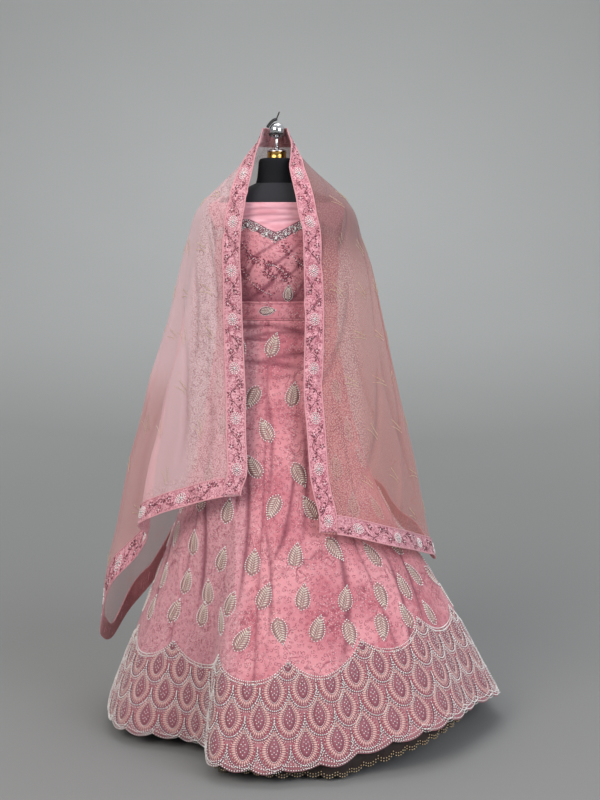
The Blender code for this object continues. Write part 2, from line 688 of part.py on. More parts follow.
def dupatta_angles(z, counts, corners):
    """The angle of every grid point: two border columns follow the front edges."""
    left_edge = column(DUPATTA_FRONT_EDGES, "left", "z", z[:, 0])
    right_edge = column(DUPATTA_FRONT_EDGES, "right", "z", z[:, -1])
    reach = column(DUPATTA_SECTIONS, "front", "z", z[:, 0]) * 0.35 \
        + column(DUPATTA_SECTIONS, "left", "z", z[:, 0]) * 0.65
    width = np.minimum(np.degrees(BORDER_WIDTH / reach), BORDER_MAX_TURN)
    angle = np.empty_like(z)
    left, back, right = counts
    for row in range(len(z)):
        angle[row, 0] = left_edge[row]
        angle[row, -1] = right_edge[row]
        inner_left = left_edge[row] + width[row]
        inner_right = right_edge[row] - width[row]
        near_left = max(corners[0], inner_left + CORNER_CLEAR)
        near_right = min(corners[1], inner_right - CORNER_CLEAR)
        angle[row, 1:left + 1] = np.linspace(inner_left, near_left, left)
        angle[row, left:left + back + 1] = np.linspace(near_left, near_right, back + 1)
        angle[row, left + back:-1] = np.linspace(near_right, inner_right, right)
    return angle


def border_rise(angle, edge):
    """How far above a slanted edge a border of even width ends."""
    across = 0.40 * np.radians(np.gradient(angle))
    slope = np.gradient(edge) / across
    return BORDER_WIDTH * np.sqrt(1 + np.minimum(slope * slope, 2.0))


def dupatta(parts):
    """The net in three stretches and the velvet border sewn on along all four edges."""
    sheet = dupatta_surface()
    last_row = sheet.points.shape[0] - 1
    last_column = sheet.points.shape[1] - 1
    left = DUPATTA_LEFT_COLUMNS
    back = left + DUPATTA_BACK_COLUMNS
    for name, columns in (("left", (0, left)), ("back", (left, back)), ("right", (back, last_column))):
        cloth_piece(f"dupatta_{name}", sheet, (0, last_row), columns, 0.0, NET_WALL,
                    "dupatta_net", parts)
    lift = NET_WALL + LAYER_GAP
    hem_rows = (last_row - 1, last_row)
    for name, rows, columns in (
            ("left", (0, last_row), (0, 1)),
            ("right", (0, last_row), (last_column - 1, last_column)),
            ("top", (0, TOP_BORDER_ROW), (1, last_column - 1)),
            ("end_left", hem_rows, (1, left)),
            ("back", hem_rows, (left, back)),
            ("end_right", hem_rows, (back, last_column - 1))):
        cloth_piece(f"dupatta_border_{name}", sheet, rows, columns, lift, BORDER_WALL,
                    "border_velvet", parts)


def main():
    clear_scene()
    parts = bpy.data.collections.new("lehenga_choli_on_dress_form")
    bpy.context.scene.collection.children.link(parts)
    form_body(parts)
    form_top(parts)
    stand(parts)
    choli(parts)
    lehenga(parts)
    dupatta(parts)


main()
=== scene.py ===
"""Looks of a net lehenga choli with its dupatta, on a limbless dress form.

Angles round the body are in degrees: 0 is the front, 90 the viewer's left, 180 the back and
270 the viewer's right. Each cloth is a function of an angle and a height, the same one that its
solid has, with creases added. Beads and stitches are placed by asking that function for points.
"""

import math
from collections import namedtuple

import bmesh
import bpy
import numpy as np
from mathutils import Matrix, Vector


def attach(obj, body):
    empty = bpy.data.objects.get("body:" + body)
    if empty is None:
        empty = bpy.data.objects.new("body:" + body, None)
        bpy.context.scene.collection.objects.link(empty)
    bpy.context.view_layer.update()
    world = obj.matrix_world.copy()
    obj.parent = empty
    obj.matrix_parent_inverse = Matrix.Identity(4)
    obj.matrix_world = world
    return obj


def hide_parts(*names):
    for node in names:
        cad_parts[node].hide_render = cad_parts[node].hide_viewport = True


bl_info = {
    "name": "Lehenga choli on a dress form",
    "version": (1, 0, 0),
    "blender": (4, 5, 0),
    "location": "View3D > Sidebar > Lehenga",
    "description": "Cloth, beads, stitches and finishes of an embroidered lehenga choli",
    "category": "Object",
}

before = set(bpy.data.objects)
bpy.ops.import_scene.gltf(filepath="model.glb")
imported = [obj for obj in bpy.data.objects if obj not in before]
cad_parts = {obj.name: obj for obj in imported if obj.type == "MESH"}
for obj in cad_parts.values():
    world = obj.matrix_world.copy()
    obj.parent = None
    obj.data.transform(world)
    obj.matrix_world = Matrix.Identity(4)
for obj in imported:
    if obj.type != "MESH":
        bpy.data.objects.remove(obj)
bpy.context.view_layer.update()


def named_rows(kind, *values):
    """A table: one named row for each plain tuple of values."""
    return tuple(kind(*value) for value in values)


# The dress form's torso: reach to each side, to the front and to the back
Form = namedtuple("Form", "z side front back")
FORM_SECTIONS = named_rows(Form,
    (0.84, 0.16, 0.1, 0.108), (0.87, 0.168, 0.107, 0.117), (0.93, 0.17, 0.109, 0.121),
    (1.0, 0.16, 0.105, 0.112), (1.08, 0.141, 0.097, 0.095), (1.12, 0.134, 0.095, 0.089),
    (1.15, 0.137, 0.099, 0.09), (1.2, 0.148, 0.114, 0.094), (1.235, 0.157, 0.125, 0.098),
    (1.27, 0.163, 0.129, 0.102), (1.3, 0.168, 0.122, 0.104), (1.34, 0.174, 0.108, 0.103),
    (1.375, 0.178, 0.095, 0.098), (1.398, 0.172, 0.087, 0.093), (1.415, 0.152, 0.081, 0.088),
    (1.432, 0.118, 0.074, 0.08), (1.448, 0.082, 0.066, 0.07), (1.46, 0.058, 0.058, 0.06))
# How much wider than the form the choli hangs
CHOLI_EASE = named_rows(Form,
    (1.08, 0.0175, 0.022, 0.011), (1.12, 0.024, 0.025, 0.017), (1.15, 0.022, 0.022, 0.016),
    (1.2, 0.013, 0.0125, 0.0115), (1.235, 0.008, 0.0065, 0.006), (1.27, 0.0055, 0.002, 0.003),
    (1.34, 0.0055, 0.0035, 0.004), (1.38, 0.0078, 0.006, 0.0066), (1.41, 0.0098, 0.008, 0.008),
    (1.46, 0.0105, 0.0085, 0.0085))
CHOLI_BOTTOM_Z = 1.0860
NECK_EDGE_Z = 1.4080
SHOULDER_RISE = 0.0190
NECK_V_Z = 1.3300
NECK_PEAK_Z = 1.3640
NECK_PEAK_ANGLE = 24.0
ARMHOLE_BOTTOM_Z = 1.2550
ARMHOLE_TOP_Z = 1.4020
ARMHOLE_CUT = 27.0

# Reach of the skirt and of the dupatta from the form's axis
Ring = namedtuple("Ring", "z left right front back")
SKIRT_SECTIONS = named_rows(Ring,
    (0.0, 0.47, 0.64, 0.538, 0.53), (0.05, 0.463, 0.624, 0.526, 0.517), (0.14, 0.432, 0.577, 0.49, 0.48),
    (0.235, 0.394, 0.525, 0.45, 0.438), (0.32, 0.362, 0.478, 0.414, 0.4),
    (0.44, 0.315, 0.402, 0.362, 0.346), (0.56, 0.273, 0.316, 0.31, 0.294),
    (0.66, 0.243, 0.263, 0.266, 0.25), (0.785, 0.212, 0.218, 0.212, 0.2),
    (0.9, 0.188, 0.19, 0.168, 0.164), (1.0, 0.172, 0.173, 0.14, 0.136),
    (1.1, 0.1608, 0.1608, 0.1216, 0.11), (1.15, 0.1612, 0.1612, 0.1232, 0.1084))
# Folds: where, how deep (inwards is negative), how wide on each side, and where they begin
Fold = namedtuple("Fold", "angle depth before after begins")
SKIRT_FOLDS = named_rows(Fold,
    (33.0, -0.12, 10.0, 23.0, 0.64), (352.5, -0.014, 4.0, 4.0, 0.62), (338.0, -0.012, 5.0, 6.0, 0.55),
    (318.0, 0.012, 9.0, 9.0, 0.6), (296.0, -0.02, 8.0, 8.0, 0.6), (262.0, -0.024, 9.0, 11.0, 0.66),
    (228.0, -0.03, 10.0, 10.0, 0.7), (200.0, 0.016, 9.0, 9.0, 0.66), (176.0, -0.032, 9.0, 12.0, 0.72),
    (140.0, -0.036, 10.0, 10.0, 0.7), (100.0, -0.012, 8.0, 8.0, 0.55))
FOLD_GROWTH = 1.2
# The heights at which the folds of the skirt and of the dupatta have their full depth
SKIRT_FOLDS_FULL_Z, DUPATTA_FOLDS_FULL_Z = 0.03, 0.55
WAIST_SEAM_Z = 1.1000
KALI_COUNT = 8
KALI_FIRST_SEAM = 7.5
PANEL_TURN = 360.0 / KALI_COUNT
SEAM_DEPTH, SEAM_WIDTH, SEAM_SHADE_WIDTH = 0.0016, 0.0035, 0.0045
SCALLOPS_PER_KALI = 5
SCALLOP_DEPTH = 0.0110

# Height of an edge round the body
Edge = namedtuple("Edge", "angle z")
SKIRT_HEM = named_rows(Edge,
    (0.0, 0.036), (20.0, 0.04), (60.0, 0.034), (90.0, 0.033), (180.0, 0.034), (250.0, 0.04),
    (268.0, 0.056), (284.0, 0.088), (300.0, 0.099), (312.0, 0.101), (326.0, 0.088), (338.0, 0.066),
    (350.0, 0.043), (360.0, 0.036))
UNDER_HEM = named_rows(Edge,
    (0.0, 0.02), (12.0, 0.03), (60.0, 0.026), (180.0, 0.026), (255.0, 0.028), (290.0, 0.052),
    (312.0, 0.05), (328.0, 0.014), (345.0, 0.012), (360.0, 0.02))
DUPATTA_HEM = named_rows(Edge,
    (0.0, 0.668), (12.0, 0.668), (36.0, 0.63), (56.0, 0.57), (68.0, 0.49), (80.0, 0.35), (92.0, 0.215),
    (104.0, 0.175), (122.0, 0.3), (150.0, 0.5), (180.0, 0.6), (215.0, 0.59), (245.0, 0.48),
    (262.0, 0.425), (280.0, 0.462), (310.0, 0.52), (345.0, 0.578), (360.0, 0.58))
DUPATTA_TOP_Z, DUPATTA_MEAN_HEM_Z = 1.6060, 0.6
BORDER_WIDTH = 0.0460
BORDER_MAX_TURN = 34.0
LEFT_BACK_CORNER = 104.0
RIGHT_BACK_CORNER = 262.0
CORNER_CLEAR = 12.0
DUPATTA_SECTIONS = named_rows(Ring,
    (0.15, 0.498, 0.48, 0.48, 0.48), (0.193, 0.492, 0.474, 0.466, 0.47),
    (0.298, 0.474, 0.456, 0.43, 0.432), (0.418, 0.463, 0.438, 0.392, 0.392),
    (0.541, 0.434, 0.409, 0.35, 0.348), (0.614, 0.42, 0.395, 0.325, 0.322),
    (0.712, 0.401, 0.376, 0.287, 0.286), (0.83, 0.369, 0.348, 0.243, 0.252),
    (0.918, 0.349, 0.327, 0.215, 0.228), (1.019, 0.315, 0.304, 0.192, 0.204),
    (1.125, 0.287, 0.281, 0.178, 0.18), (1.24, 0.26, 0.255, 0.168, 0.162),
    (1.315, 0.239, 0.228, 0.156, 0.15), (1.377, 0.22, 0.211, 0.14, 0.136),
    (1.411, 0.198, 0.19, 0.126, 0.122), (1.451, 0.157, 0.15, 0.102, 0.104),
    (1.493, 0.114, 0.102, 0.078, 0.082), (1.538, 0.074, 0.06, 0.05, 0.058),
    (1.569, 0.049, 0.042, 0.032, 0.04), (1.59, 0.04, 0.031, 0.016, 0.028),
    (1.6, 0.036, 0.027, 0.01, 0.0224), (1.606, 0.035, 0.026, 0.008, 0.0209))
# Where the two front edges of the dupatta hang, in degrees
FrontEdge = namedtuple("FrontEdge", "z left right")
DUPATTA_FRONT_EDGES = named_rows(FrontEdge,
    (0.56, 11.5, 344.5), (0.58, 11.5, 344.0), (0.611, 11.5, 343.8), (0.674, 12.2, 345.6),
    (0.722, 10.4, 346.6), (0.821, 11.8, 346.8), (0.916, 12.8, 347.3), (1.013, 15.0, 346.2),
    (1.125, 17.6, 344.6), (1.208, 19.4, 344.0), (1.259, 21.1, 343.4), (1.327, 22.5, 342.0),
    (1.387, 22.4, 344.2), (1.439, 25.8, 343.4), (1.495, 33.0, 340.0), (1.538, 46.0, 322.0),
    (1.569, 62.0, 300.0), (1.606, 84.0, 276.0))
DUPATTA_FOLDS = named_rows(Fold,
    (54.0, 0.01, 6.0, 5.0, 1.36), (67.0, -0.058, 8.0, 8.0, 1.38), (34.0, -0.01, 6.0, 6.0, 1.34),
    (88.0, 0.006, 7.0, 7.0, 1.2), (126.0, -0.026, 9.0, 9.0, 1.34), (150.0, 0.016, 8.0, 8.0, 1.3),
    (170.0, -0.022, 8.0, 8.0, 1.32), (192.0, 0.014, 8.0, 8.0, 1.3), (212.0, -0.022, 8.0, 8.0, 1.32),
    (240.0, -0.02, 8.0, 8.0, 1.3), (292.0, -0.01, 7.0, 7.0, 1.3), (316.0, 0.008, 7.0, 7.0, 1.2))

# Creases laid on the cloth: centre, half length and half width in metres, depth
# (inwards is negative) and how far the crease leans from upright in degrees
Crease = namedtuple("Crease", "angle z run width depth lean")
SKIRT_CREASES = named_rows(Crease,
    (8.0, 1.086, 0.06, 0.005, -0.003, 88.0), (352.0, 1.07, 0.074, 0.006, -0.0034, 94.0),
    (14.0, 1.05, 0.05, 0.005, -0.0026, 86.0), (0.0, 1.034, 0.085, 0.007, 0.0026, 92.0),
    (345.0, 1.012, 0.055, 0.006, -0.0028, 97.0), (6.0, 0.99, 0.07, 0.007, -0.0026, 84.0),
    (357.0, 0.955, 0.05, 0.005, -0.0011, 95.0), (3.0, 0.8, 0.15, 0.0056, -0.0022, 3.0),
    (352.0, 0.64, 0.12, 0.005, -0.0028, -14.0), (356.0, 0.56, 0.06, 0.0037, -0.002, -28.0),
    (2.0, 0.47, 0.13, 0.005, -0.0024, 4.0), (347.0, 0.505, 0.08, 0.0037, -0.0021, -66.0),
    (341.0, 0.7, 0.14, 0.0068, -0.0028, -8.0), (334.0, 0.42, 0.15, 0.0074, -0.0033, -12.0),
    (325.0, 0.52, 0.13, 0.0074, 0.0028, -16.0), (312.0, 0.38, 0.12, 0.0074, -0.0033, -18.0),
    (300.0, 0.43, 0.11, 0.0062, -0.0028, -20.0), (16.0, 0.62, 0.2, 0.0068, -0.0033, 5.0),
    (20.5, 0.52, 0.16, 0.0056, 0.0028, 8.0), (25.0, 0.74, 0.15, 0.0062, -0.0033, 6.0),
    (44.0, 0.56, 0.16, 0.0074, -0.0039, 12.0), (58.0, 0.48, 0.15, 0.0074, 0.0033, 16.0),
    (72.0, 0.44, 0.14, 0.0074, -0.0033, 16.0), (88.0, 0.52, 0.18, 0.0074, -0.0028, 12.0),
    (60.0, 0.88, 0.13, 0.0056, -0.0022, 4.0), (90.0, 0.96, 0.12, 0.005, -0.0022, -3.0),
    (112.0, 0.7, 0.17, 0.0074, -0.0033, 6.0), (130.0, 0.9, 0.14, 0.005, -0.0022, 3.0),
    (152.0, 0.64, 0.18, 0.0074, -0.0033, 4.0), (168.0, 0.92, 0.13, 0.005, -0.0022, -4.0),
    (186.0, 0.56, 0.17, 0.0068, -0.0033, -3.0), (205.0, 0.86, 0.14, 0.0056, -0.0022, 2.0),
    (214.0, 0.52, 0.16, 0.0074, 0.0028, -5.0), (236.0, 0.7, 0.17, 0.0074, -0.0033, -8.0),
    (246.0, 0.94, 0.11, 0.005, -0.0022, -4.0), (272.0, 0.62, 0.16, 0.0074, -0.0033, -10.0),
    (286.0, 0.86, 0.13, 0.0056, -0.0022, -6.0), (306.0, 0.76, 0.14, 0.0062, -0.0028, -7.0))
# Under the waistband the cloth is eased in: short level gathers all the way round
GATHERS = tuple(Crease(angle, 1.084 - 0.021 * (step % 4), 0.036 + 0.010 * (step % 3), 0.0050, -0.0024,
        84.0 + 5.0 * (step % 4)) for step, angle in enumerate(range(32, 332, 17)))
CHOLI_CREASES = named_rows(Crease,
    (9.0, 1.285, 0.04, 0.0036, -0.0013, -52.0), (354.0, 1.262, 0.048, 0.0042, -0.0016, -46.0),
    (344.0, 1.228, 0.044, 0.0036, -0.0014, -40.0), (4.0, 1.205, 0.056, 0.0042, -0.0014, -38.0),
    (14.0, 1.176, 0.044, 0.0036, -0.0014, -50.0), (350.0, 1.16, 0.04, 0.0036, 0.0012, -60.0),
    (338.0, 1.18, 0.04, 0.0042, -0.0014, -30.0), (24.0, 1.235, 0.044, 0.0042, -0.0014, -34.0),
    (358.0, 1.392, 0.06, 0.004, -0.0012, 88.0), (8.0, 1.376, 0.05, 0.004, -0.0014, 93.0),
    (350.0, 1.362, 0.045, 0.004, -0.0012, 96.0), (52.0, 1.26, 0.04, 0.0048, -0.0013, -20.0),
    (74.0, 1.18, 0.036, 0.0048, -0.0014, 12.0), (108.0, 1.2, 0.04, 0.0048, -0.0014, -14.0),
    (140.0, 1.17, 0.048, 0.0048, -0.0016, 20.0), (172.0, 1.21, 0.056, 0.0048, -0.0014, 4.0),
    (198.0, 1.16, 0.048, 0.0048, -0.0016, -16.0), (224.0, 1.23, 0.04, 0.0048, -0.0013, 10.0),
    (262.0, 1.19, 0.036, 0.0048, -0.0014, -10.0), (300.0, 1.2, 0.04, 0.0048, -0.0014, 16.0),
    (320.0, 1.262, 0.04, 0.0042, -0.0013, 30.0))
NET_CREASES = named_rows(Crease,
    (336.0, 1.215, 0.12, 0.006, -0.0045, -20.0), (326.0, 1.04, 0.15, 0.007, -0.0055, -22.0),
    (312.0, 0.82, 0.16, 0.008, -0.006, -24.0), (300.0, 0.7, 0.14, 0.008, 0.005, -20.0),
    (284.0, 0.9, 0.18, 0.009, -0.006, -10.0), (290.0, 1.18, 0.13, 0.008, -0.005, -8.0),
    (306.0, 1.33, 0.07, 0.006, -0.004, -34.0), (268.0, 1.08, 0.16, 0.01, -0.006, 4.0),
    (30.0, 1.3, 0.09, 0.005, -0.004, 22.0), (38.0, 1.22, 0.12, 0.006, -0.005, 16.0),
    (46.0, 1.12, 0.14, 0.006, -0.005, 12.0), (32.0, 1.02, 0.13, 0.007, 0.004, 8.0),
    (42.0, 0.9, 0.16, 0.007, -0.006, 10.0), (27.0, 0.82, 0.12, 0.007, -0.004, 4.0),
    (58.0, 0.98, 0.18, 0.008, -0.007, 9.0), (76.0, 0.86, 0.2, 0.008, 0.006, 12.0),
    (84.0, 0.64, 0.18, 0.008, -0.007, 10.0), (96.0, 0.9, 0.19, 0.01, -0.007, 8.0),
    (110.0, 0.7, 0.2, 0.011, -0.008, 4.0), (134.0, 0.98, 0.2, 0.011, -0.008, 3.0),
    (160.0, 0.9, 0.2, 0.011, -0.008, 0.0), (182.0, 1.05, 0.2, 0.011, -0.008, 2.0),
    (202.0, 0.86, 0.2, 0.011, -0.008, -2.0), (226.0, 1.0, 0.2, 0.011, -0.008, -4.0),
    (250.0, 0.82, 0.2, 0.011, -0.008, -6.0), (20.0, 1.42, 0.05, 0.005, -0.003, 40.0),
    (44.0, 1.43, 0.06, 0.005, -0.0035, 46.0), (66.0, 1.46, 0.06, 0.005, -0.0035, 40.0),
    (300.0, 1.45, 0.06, 0.005, -0.0035, -44.0), (274.0, 1.48, 0.06, 0.005, -0.0035, -30.0))


def hex_linear(code):
    """The linear colour of an sRGB hex code."""
    parts = np.array([int(code[i:i + 2], 16) / 255 for i in (0, 2, 4)])
    linear = np.where(parts <= 0.04045, parts / 12.92, ((parts + 0.055) / 1.055) ** 2.4)
    return (*(float(part) for part in linear), 1.0)


def smooth_curve(known, values, at):
    """A cubic through the known values that never overshoots between two of them."""
    known = np.asarray(known, float)
    values = np.asarray(values, float)
    at = np.clip(at, known[0], known[-1])
    step = np.diff(known)
    slope = np.diff(values) / step
    tangent = np.concatenate(([slope[0]], np.zeros(len(slope) - 1), [slope[-1]]))
    before, after = slope[:-1], slope[1:]
    same_way = before * after > 0
    wide = 2 * step[1:] + step[:-1]
    narrow = step[1:] + 2 * step[:-1]
    safe_before = np.where(same_way, before, 1.0)
    safe_after = np.where(same_way, after, 1.0)
    mean = (wide + narrow) / (wide / safe_before + narrow / safe_after)
    tangent[1:-1] = np.where(same_way, mean, 0.0)
    cell = np.clip(np.searchsorted(known, at, side="right") - 1, 0, len(step) - 1)
    width = step[cell]
    t = (at - known[cell]) / width
    return ((2 * t**3 - 3 * t**2 + 1) * values[cell] + (t**3 - 2 * t**2 + t) * width * tangent[cell]
            + (3 * t**2 - 2 * t**3) * values[cell + 1] + (t**3 - t**2) * width * tangent[cell + 1])


def column(table, field, key, at):
    """One column of a table at the given values of its key column."""
    return smooth_curve([getattr(row, key) for row in table], [getattr(row, field) for row in table], at)


def ease_step(value, start, end):
    """0 before start, 1 after end and a smooth rise between."""
    t = np.clip((value - start) / (end - start), 0.0, 1.0)
    return t * t * (3 - 2 * t)


def apart(angle, centre):
    """Degrees from a centre to an angle, the short way round."""
    return (np.asarray(angle) - centre + 180.0) % 360.0 - 180.0


def ring(angle, z, left, right, front, back):
    """Points of a ring of four quarter ellipses: one reach to each side."""
    turn = np.radians(angle)
    sine, cosine = np.sin(turn), np.cos(turn)
    x = -sine * np.where(sine > 0, left, right)
    y = -cosine * np.where(cosine > 0, front, back)
    return np.stack([x, y, z + 0 * x], axis=-1)


def section_ring(table, angle, z):
    """The ring of a table with the four reaches, at each angle and height."""
    reaches = [column(table, field, "z", z) for field in ("left", "right", "front", "back")]
    return ring(angle, z, *reaches)


def fold_depth(folds, angle, z, lowest):
    """How far the folds push the cloth out: a rounded bell of the angle that grows downwards."""
    total = np.zeros(np.broadcast(angle, z).shape)
    for fold in folds:
        away = apart(angle, fold.angle)
        spread = np.where(away < 0, fold.before, fold.after)
        grown = np.clip((fold.begins - z) / (fold.begins - lowest), 0.0, 1.0) ** FOLD_GROWTH
        total = total + fold.depth * np.exp(-np.abs(away / spread) ** 3) * grown
    return total


def crease_depth(creases, angle, z, radius):
    """Soft troughs and ridges: a bell across each crease that fades towards its two ends."""
    total = np.zeros(np.broadcast(angle, z).shape)
    for crease in creases:
        level = np.radians(apart(angle, crease.angle)) * radius
        up = z - crease.z
        lean = math.radians(crease.lean)
        along = up * math.cos(lean) + level * math.sin(lean)
        across = level * math.cos(lean) - up * math.sin(lean)
        bend = across - 0.10 * along * along / crease.run
        total = total + crease.depth * np.exp(-(bend / crease.width) ** 2 - (along / crease.run) ** 4)
    return total


def unit(vectors):
    """The same directions with a length of 1."""
    return vectors / np.maximum(np.linalg.norm(vectors, axis=-1, keepdims=True), 1e-9)


def joined(*parts):
    """Each list of arrays as one array."""
    return [np.concatenate(part) for part in parts]


def axis_distance(points):
    """Level distance of points from the axis."""
    return np.linalg.norm(points[..., :2], axis=-1)


def push_out(points, distance):
    """Move points level, straight away from the axis."""
    flat = points[..., :2]
    length = np.linalg.norm(flat, axis=-1, keepdims=True)
    moved = points.copy()
    moved[..., :2] = flat * (1 + np.asarray(distance)[..., None] / length)
    return moved


def creased(points, creases, angle, z):
    """Cloth with its creases pressed in or out."""
    return push_out(points, crease_depth(creases, angle, z, axis_distance(points)))


def seam_bell(points, angle, width):
    """1 on each seam between two panels, falling off in a bell of this width across it."""
    from_seam = np.abs((np.asarray(angle) - KALI_FIRST_SEAM + PANEL_TURN / 2) % PANEL_TURN - PANEL_TURN / 2)
    return np.exp(-(np.radians(from_seam) * axis_distance(points) / width) ** 2)


def folded_skirt(angle, z):
    """The skirt's ring with its large folds, before the creases."""
    return push_out(section_ring(SKIRT_SECTIONS, angle, z),
            fold_depth(SKIRT_FOLDS, angle, z, SKIRT_FOLDS_FULL_Z))


def skirt_cloth(angle, z):
    """The skirt at each angle and height: its ring, its folds, its creases and its panel seams."""
    points = creased(folded_skirt(angle, z), SKIRT_CREASES + GATHERS, angle, z)
    return push_out(points, -SEAM_DEPTH * seam_bell(points, angle, SEAM_WIDTH) * (z < WAIST_SEAM_Z))


def torso_ring(angle, z, *tables):
    """The ring of the torso; with a second table its reaches are added as ease."""
    side, front, back = (sum(column(table, field, "z", z) for table in tables)
            for field in ("side", "front", "back"))
    return ring(angle, z, side, side, front, back)


def choli_cloth(angle, z):
    """The choli: the form's own ring plus its ease, and its creases."""
    points = torso_ring(angle, z, FORM_SECTIONS, CHOLI_EASE)
    return creased(push_out(points, 0.0012 + 0 * z), CHOLI_CREASES, angle, z)


def net_cloth(angle, z):
    """The dupatta: hung from the ball, over the shoulders, with its folds and creases."""
    points = push_out(section_ring(DUPATTA_SECTIONS, angle, z), fold_depth(DUPATTA_FOLDS, angle, z,
            DUPATTA_FOLDS_FULL_Z))
    return creased(points, NET_CREASES, angle, z)


def skirt_hem(angle):
    """Height of the scalloped hem round the body."""
    panels = (np.asarray(angle) - KALI_FIRST_SEAM) / 360.0 * KALI_COUNT
    scallop = np.abs(np.sin(np.pi * SCALLOPS_PER_KALI * panels))
    return skirt_hem_smooth(angle) + SCALLOP_DEPTH * (0.5 - scallop)


def on_cloth(cloth, angle, z):
    """Points of a cloth, with the level, upward and outward directions at each of them."""
    point = cloth(angle, z)
    level = unit(cloth(angle + 0.2, z) - cloth(angle - 0.2, z))
    upward = unit(cloth(angle, z + 0.0015) - cloth(angle, z - 0.0015))
    return point, level, upward, unit(np.cross(upward, level))


def new_piece(name, vertices, faces, material, uv=None, values=None):
    """A smooth mesh at the origin; uv holds one pair for each face corner, values one number a vertex."""
    faces = np.asarray(faces)
    vertices = np.asarray(vertices, np.float32).reshape(-1, 3)
    sides = faces.shape[1]
    mesh = bpy.data.meshes.new(name)
    mesh.vertices.add(len(vertices))
    mesh.vertices.foreach_set("co", vertices.ravel())
    mesh.loops.add(faces.size)
    mesh.loops.foreach_set("vertex_index", faces.astype(np.int32).ravel())
    mesh.polygons.add(len(faces))
    mesh.polygons.foreach_set("loop_start", np.arange(0, faces.size, sides, dtype=np.int32))
    mesh.polygons.foreach_set("loop_total", np.full(len(faces), sides, np.int32))
    if uv is not None:
        layer = mesh.uv_layers.new(name="cloth")
        layer.data.foreach_set("uv", np.asarray(uv, np.float32).ravel())
    for key, numbers in (values or {}).items():
        attribute = mesh.attributes.new(key, "FLOAT", "POINT")
        attribute.data.foreach_set("value", np.asarray(numbers, np.float32).ravel())
    mesh.update(calc_edges=True)
    mesh.validate()
    mesh.shade_smooth()
    piece = bpy.data.objects.new(name, mesh)
    bpy.context.scene.collection.objects.link(piece)
    mesh.materials.append(material)
    return piece


def grid_faces(rows, columns, closed=False):
    """Quads of a grid of points, rows from top to bottom, facing out where columns run leftwards."""
    index = np.arange(rows * columns).reshape(rows, columns)
    ahead = np.roll(index, -1, axis=1) if closed else index[:, 1:]
    here = index if closed else index[:, :-1]
    return np.stack([here[:-1], ahead[:-1], ahead[1:], here[1:]], axis=-1).reshape(-1, 4)


def run_lengths(points, axis):
    """Length along a grid's rows (axis 1) or columns (axis 0), from its first point."""
    step = np.linalg.norm(np.diff(points, axis=axis), axis=-1)
    start = np.zeros_like(step.take([0], axis=axis))
    return np.concatenate([start, np.cumsum(step, axis=axis)], axis=axis)


def sheet_piece(name, points, material, uv, values=None, closed=False, wall=None):
    """A grid of cloth points as one sheet; with a wall it is a closed shell centred on the points."""
    rows, columns = points.shape[:2]
    faces = grid_faces(rows, columns, closed)
    corners = uv if len(uv) == len(faces) else uv.reshape(-1, 2)[faces]
    piece = new_piece(name, points, faces, material, corners, values)
    if wall:
        add_wall(piece, wall)
    return piece


def add_wall(piece, thickness):
    """Give a sheet its thickness, half to each side."""
    wall = piece.modifiers.new("Wall", "SOLIDIFY")
    wall.thickness = thickness
    wall.offset = 0.0


# The share of a bead's half height that is sunk in the cloth
BEAD_SUNK = 0.25


def bead_shape(fine):
    """Corners and triangles of a unit bead: an octahedron, or a rounder one of three rings of six."""
    if not fine:
        corners = np.array([(1, 0, 0), (0, 1, 0), (-1, 0, 0), (0, -1, 0), (0, 0, 1), (0, 0, -1)], float)
        faces = [(0, 1, 4), (1, 2, 4), (2, 3, 4), (3, 0, 4), (1, 0, 5), (2, 1, 5), (3, 2, 5), (0, 3, 5)]
        return corners, np.array(faces)
    turn = np.radians(np.arange(6) * 60.0)
    rings = [np.stack([np.cos(turn + shift) * wide, np.sin(turn + shift) * wide, 0 * turn + high], 1)
            for shift, wide, high in ((0.0, 0.80, 0.60), (math.pi / 6, 0.80, -0.60))]
    corners = np.concatenate([[(0, 0, 1.0)], *rings, [(0, 0, -1.0)]])
    faces = []
    for i in range(6):
        j = (i + 1) % 6
        faces += [(0, 1 + i, 1 + j), (1 + i, 7 + i, 1 + j), (1 + j, 7 + i, 7 + j), (13, 7 + j, 7 + i)]
    return corners, np.array(faces)


def grains(name, points, along, out, sizes, material, lift=0.0, fine=False):
    """Beads or stitches joined in one mesh: each is a unit bead stretched to its half length,
    half width and half height, turned to its own directions, lifted off the points and sunk a
    little in the cloth. One number as the size makes a round bead."""
    points, along, out = (np.asarray(a, float).reshape(-1, 3) for a in (points, along, out))
    sizes = np.broadcast_to(np.asarray(sizes, float), points.shape)
    across = unit(np.cross(out, along))
    corners, faces = bead_shape(fine)
    centre = points + out * lift + out * sizes[:, 2:] * (1 - BEAD_SUNK)
    vertices = (centre[:, None, :] + corners[None, :, :1] * (sizes[:, 0, None] * along)[:, None, :]
            + corners[None, :, 1:2] * (sizes[:, 1, None] * across)[:, None, :]
            + corners[None, :, 2:] * (sizes[:, 2, None] * out)[:, None, :])
    offsets = np.arange(len(points))[:, None, None] * len(corners)
    return new_piece(name, vertices, (faces[None] + offsets).reshape(-1, 3), material)


def patches(name, points, uv, material, wall):
    """Equal small grids of points joined in one mesh, such as satin-stitched bands."""
    count, rows, columns = points.shape[:3]
    faces = grid_faces(rows, columns)
    offsets = np.arange(count)[:, None, None] * rows * columns
    faces = (faces[None] + offsets).reshape(-1, 4)
    piece = new_piece(name, points, faces, material, uv.reshape(-1, 2)[faces])
    add_wall(piece, wall)
    return piece


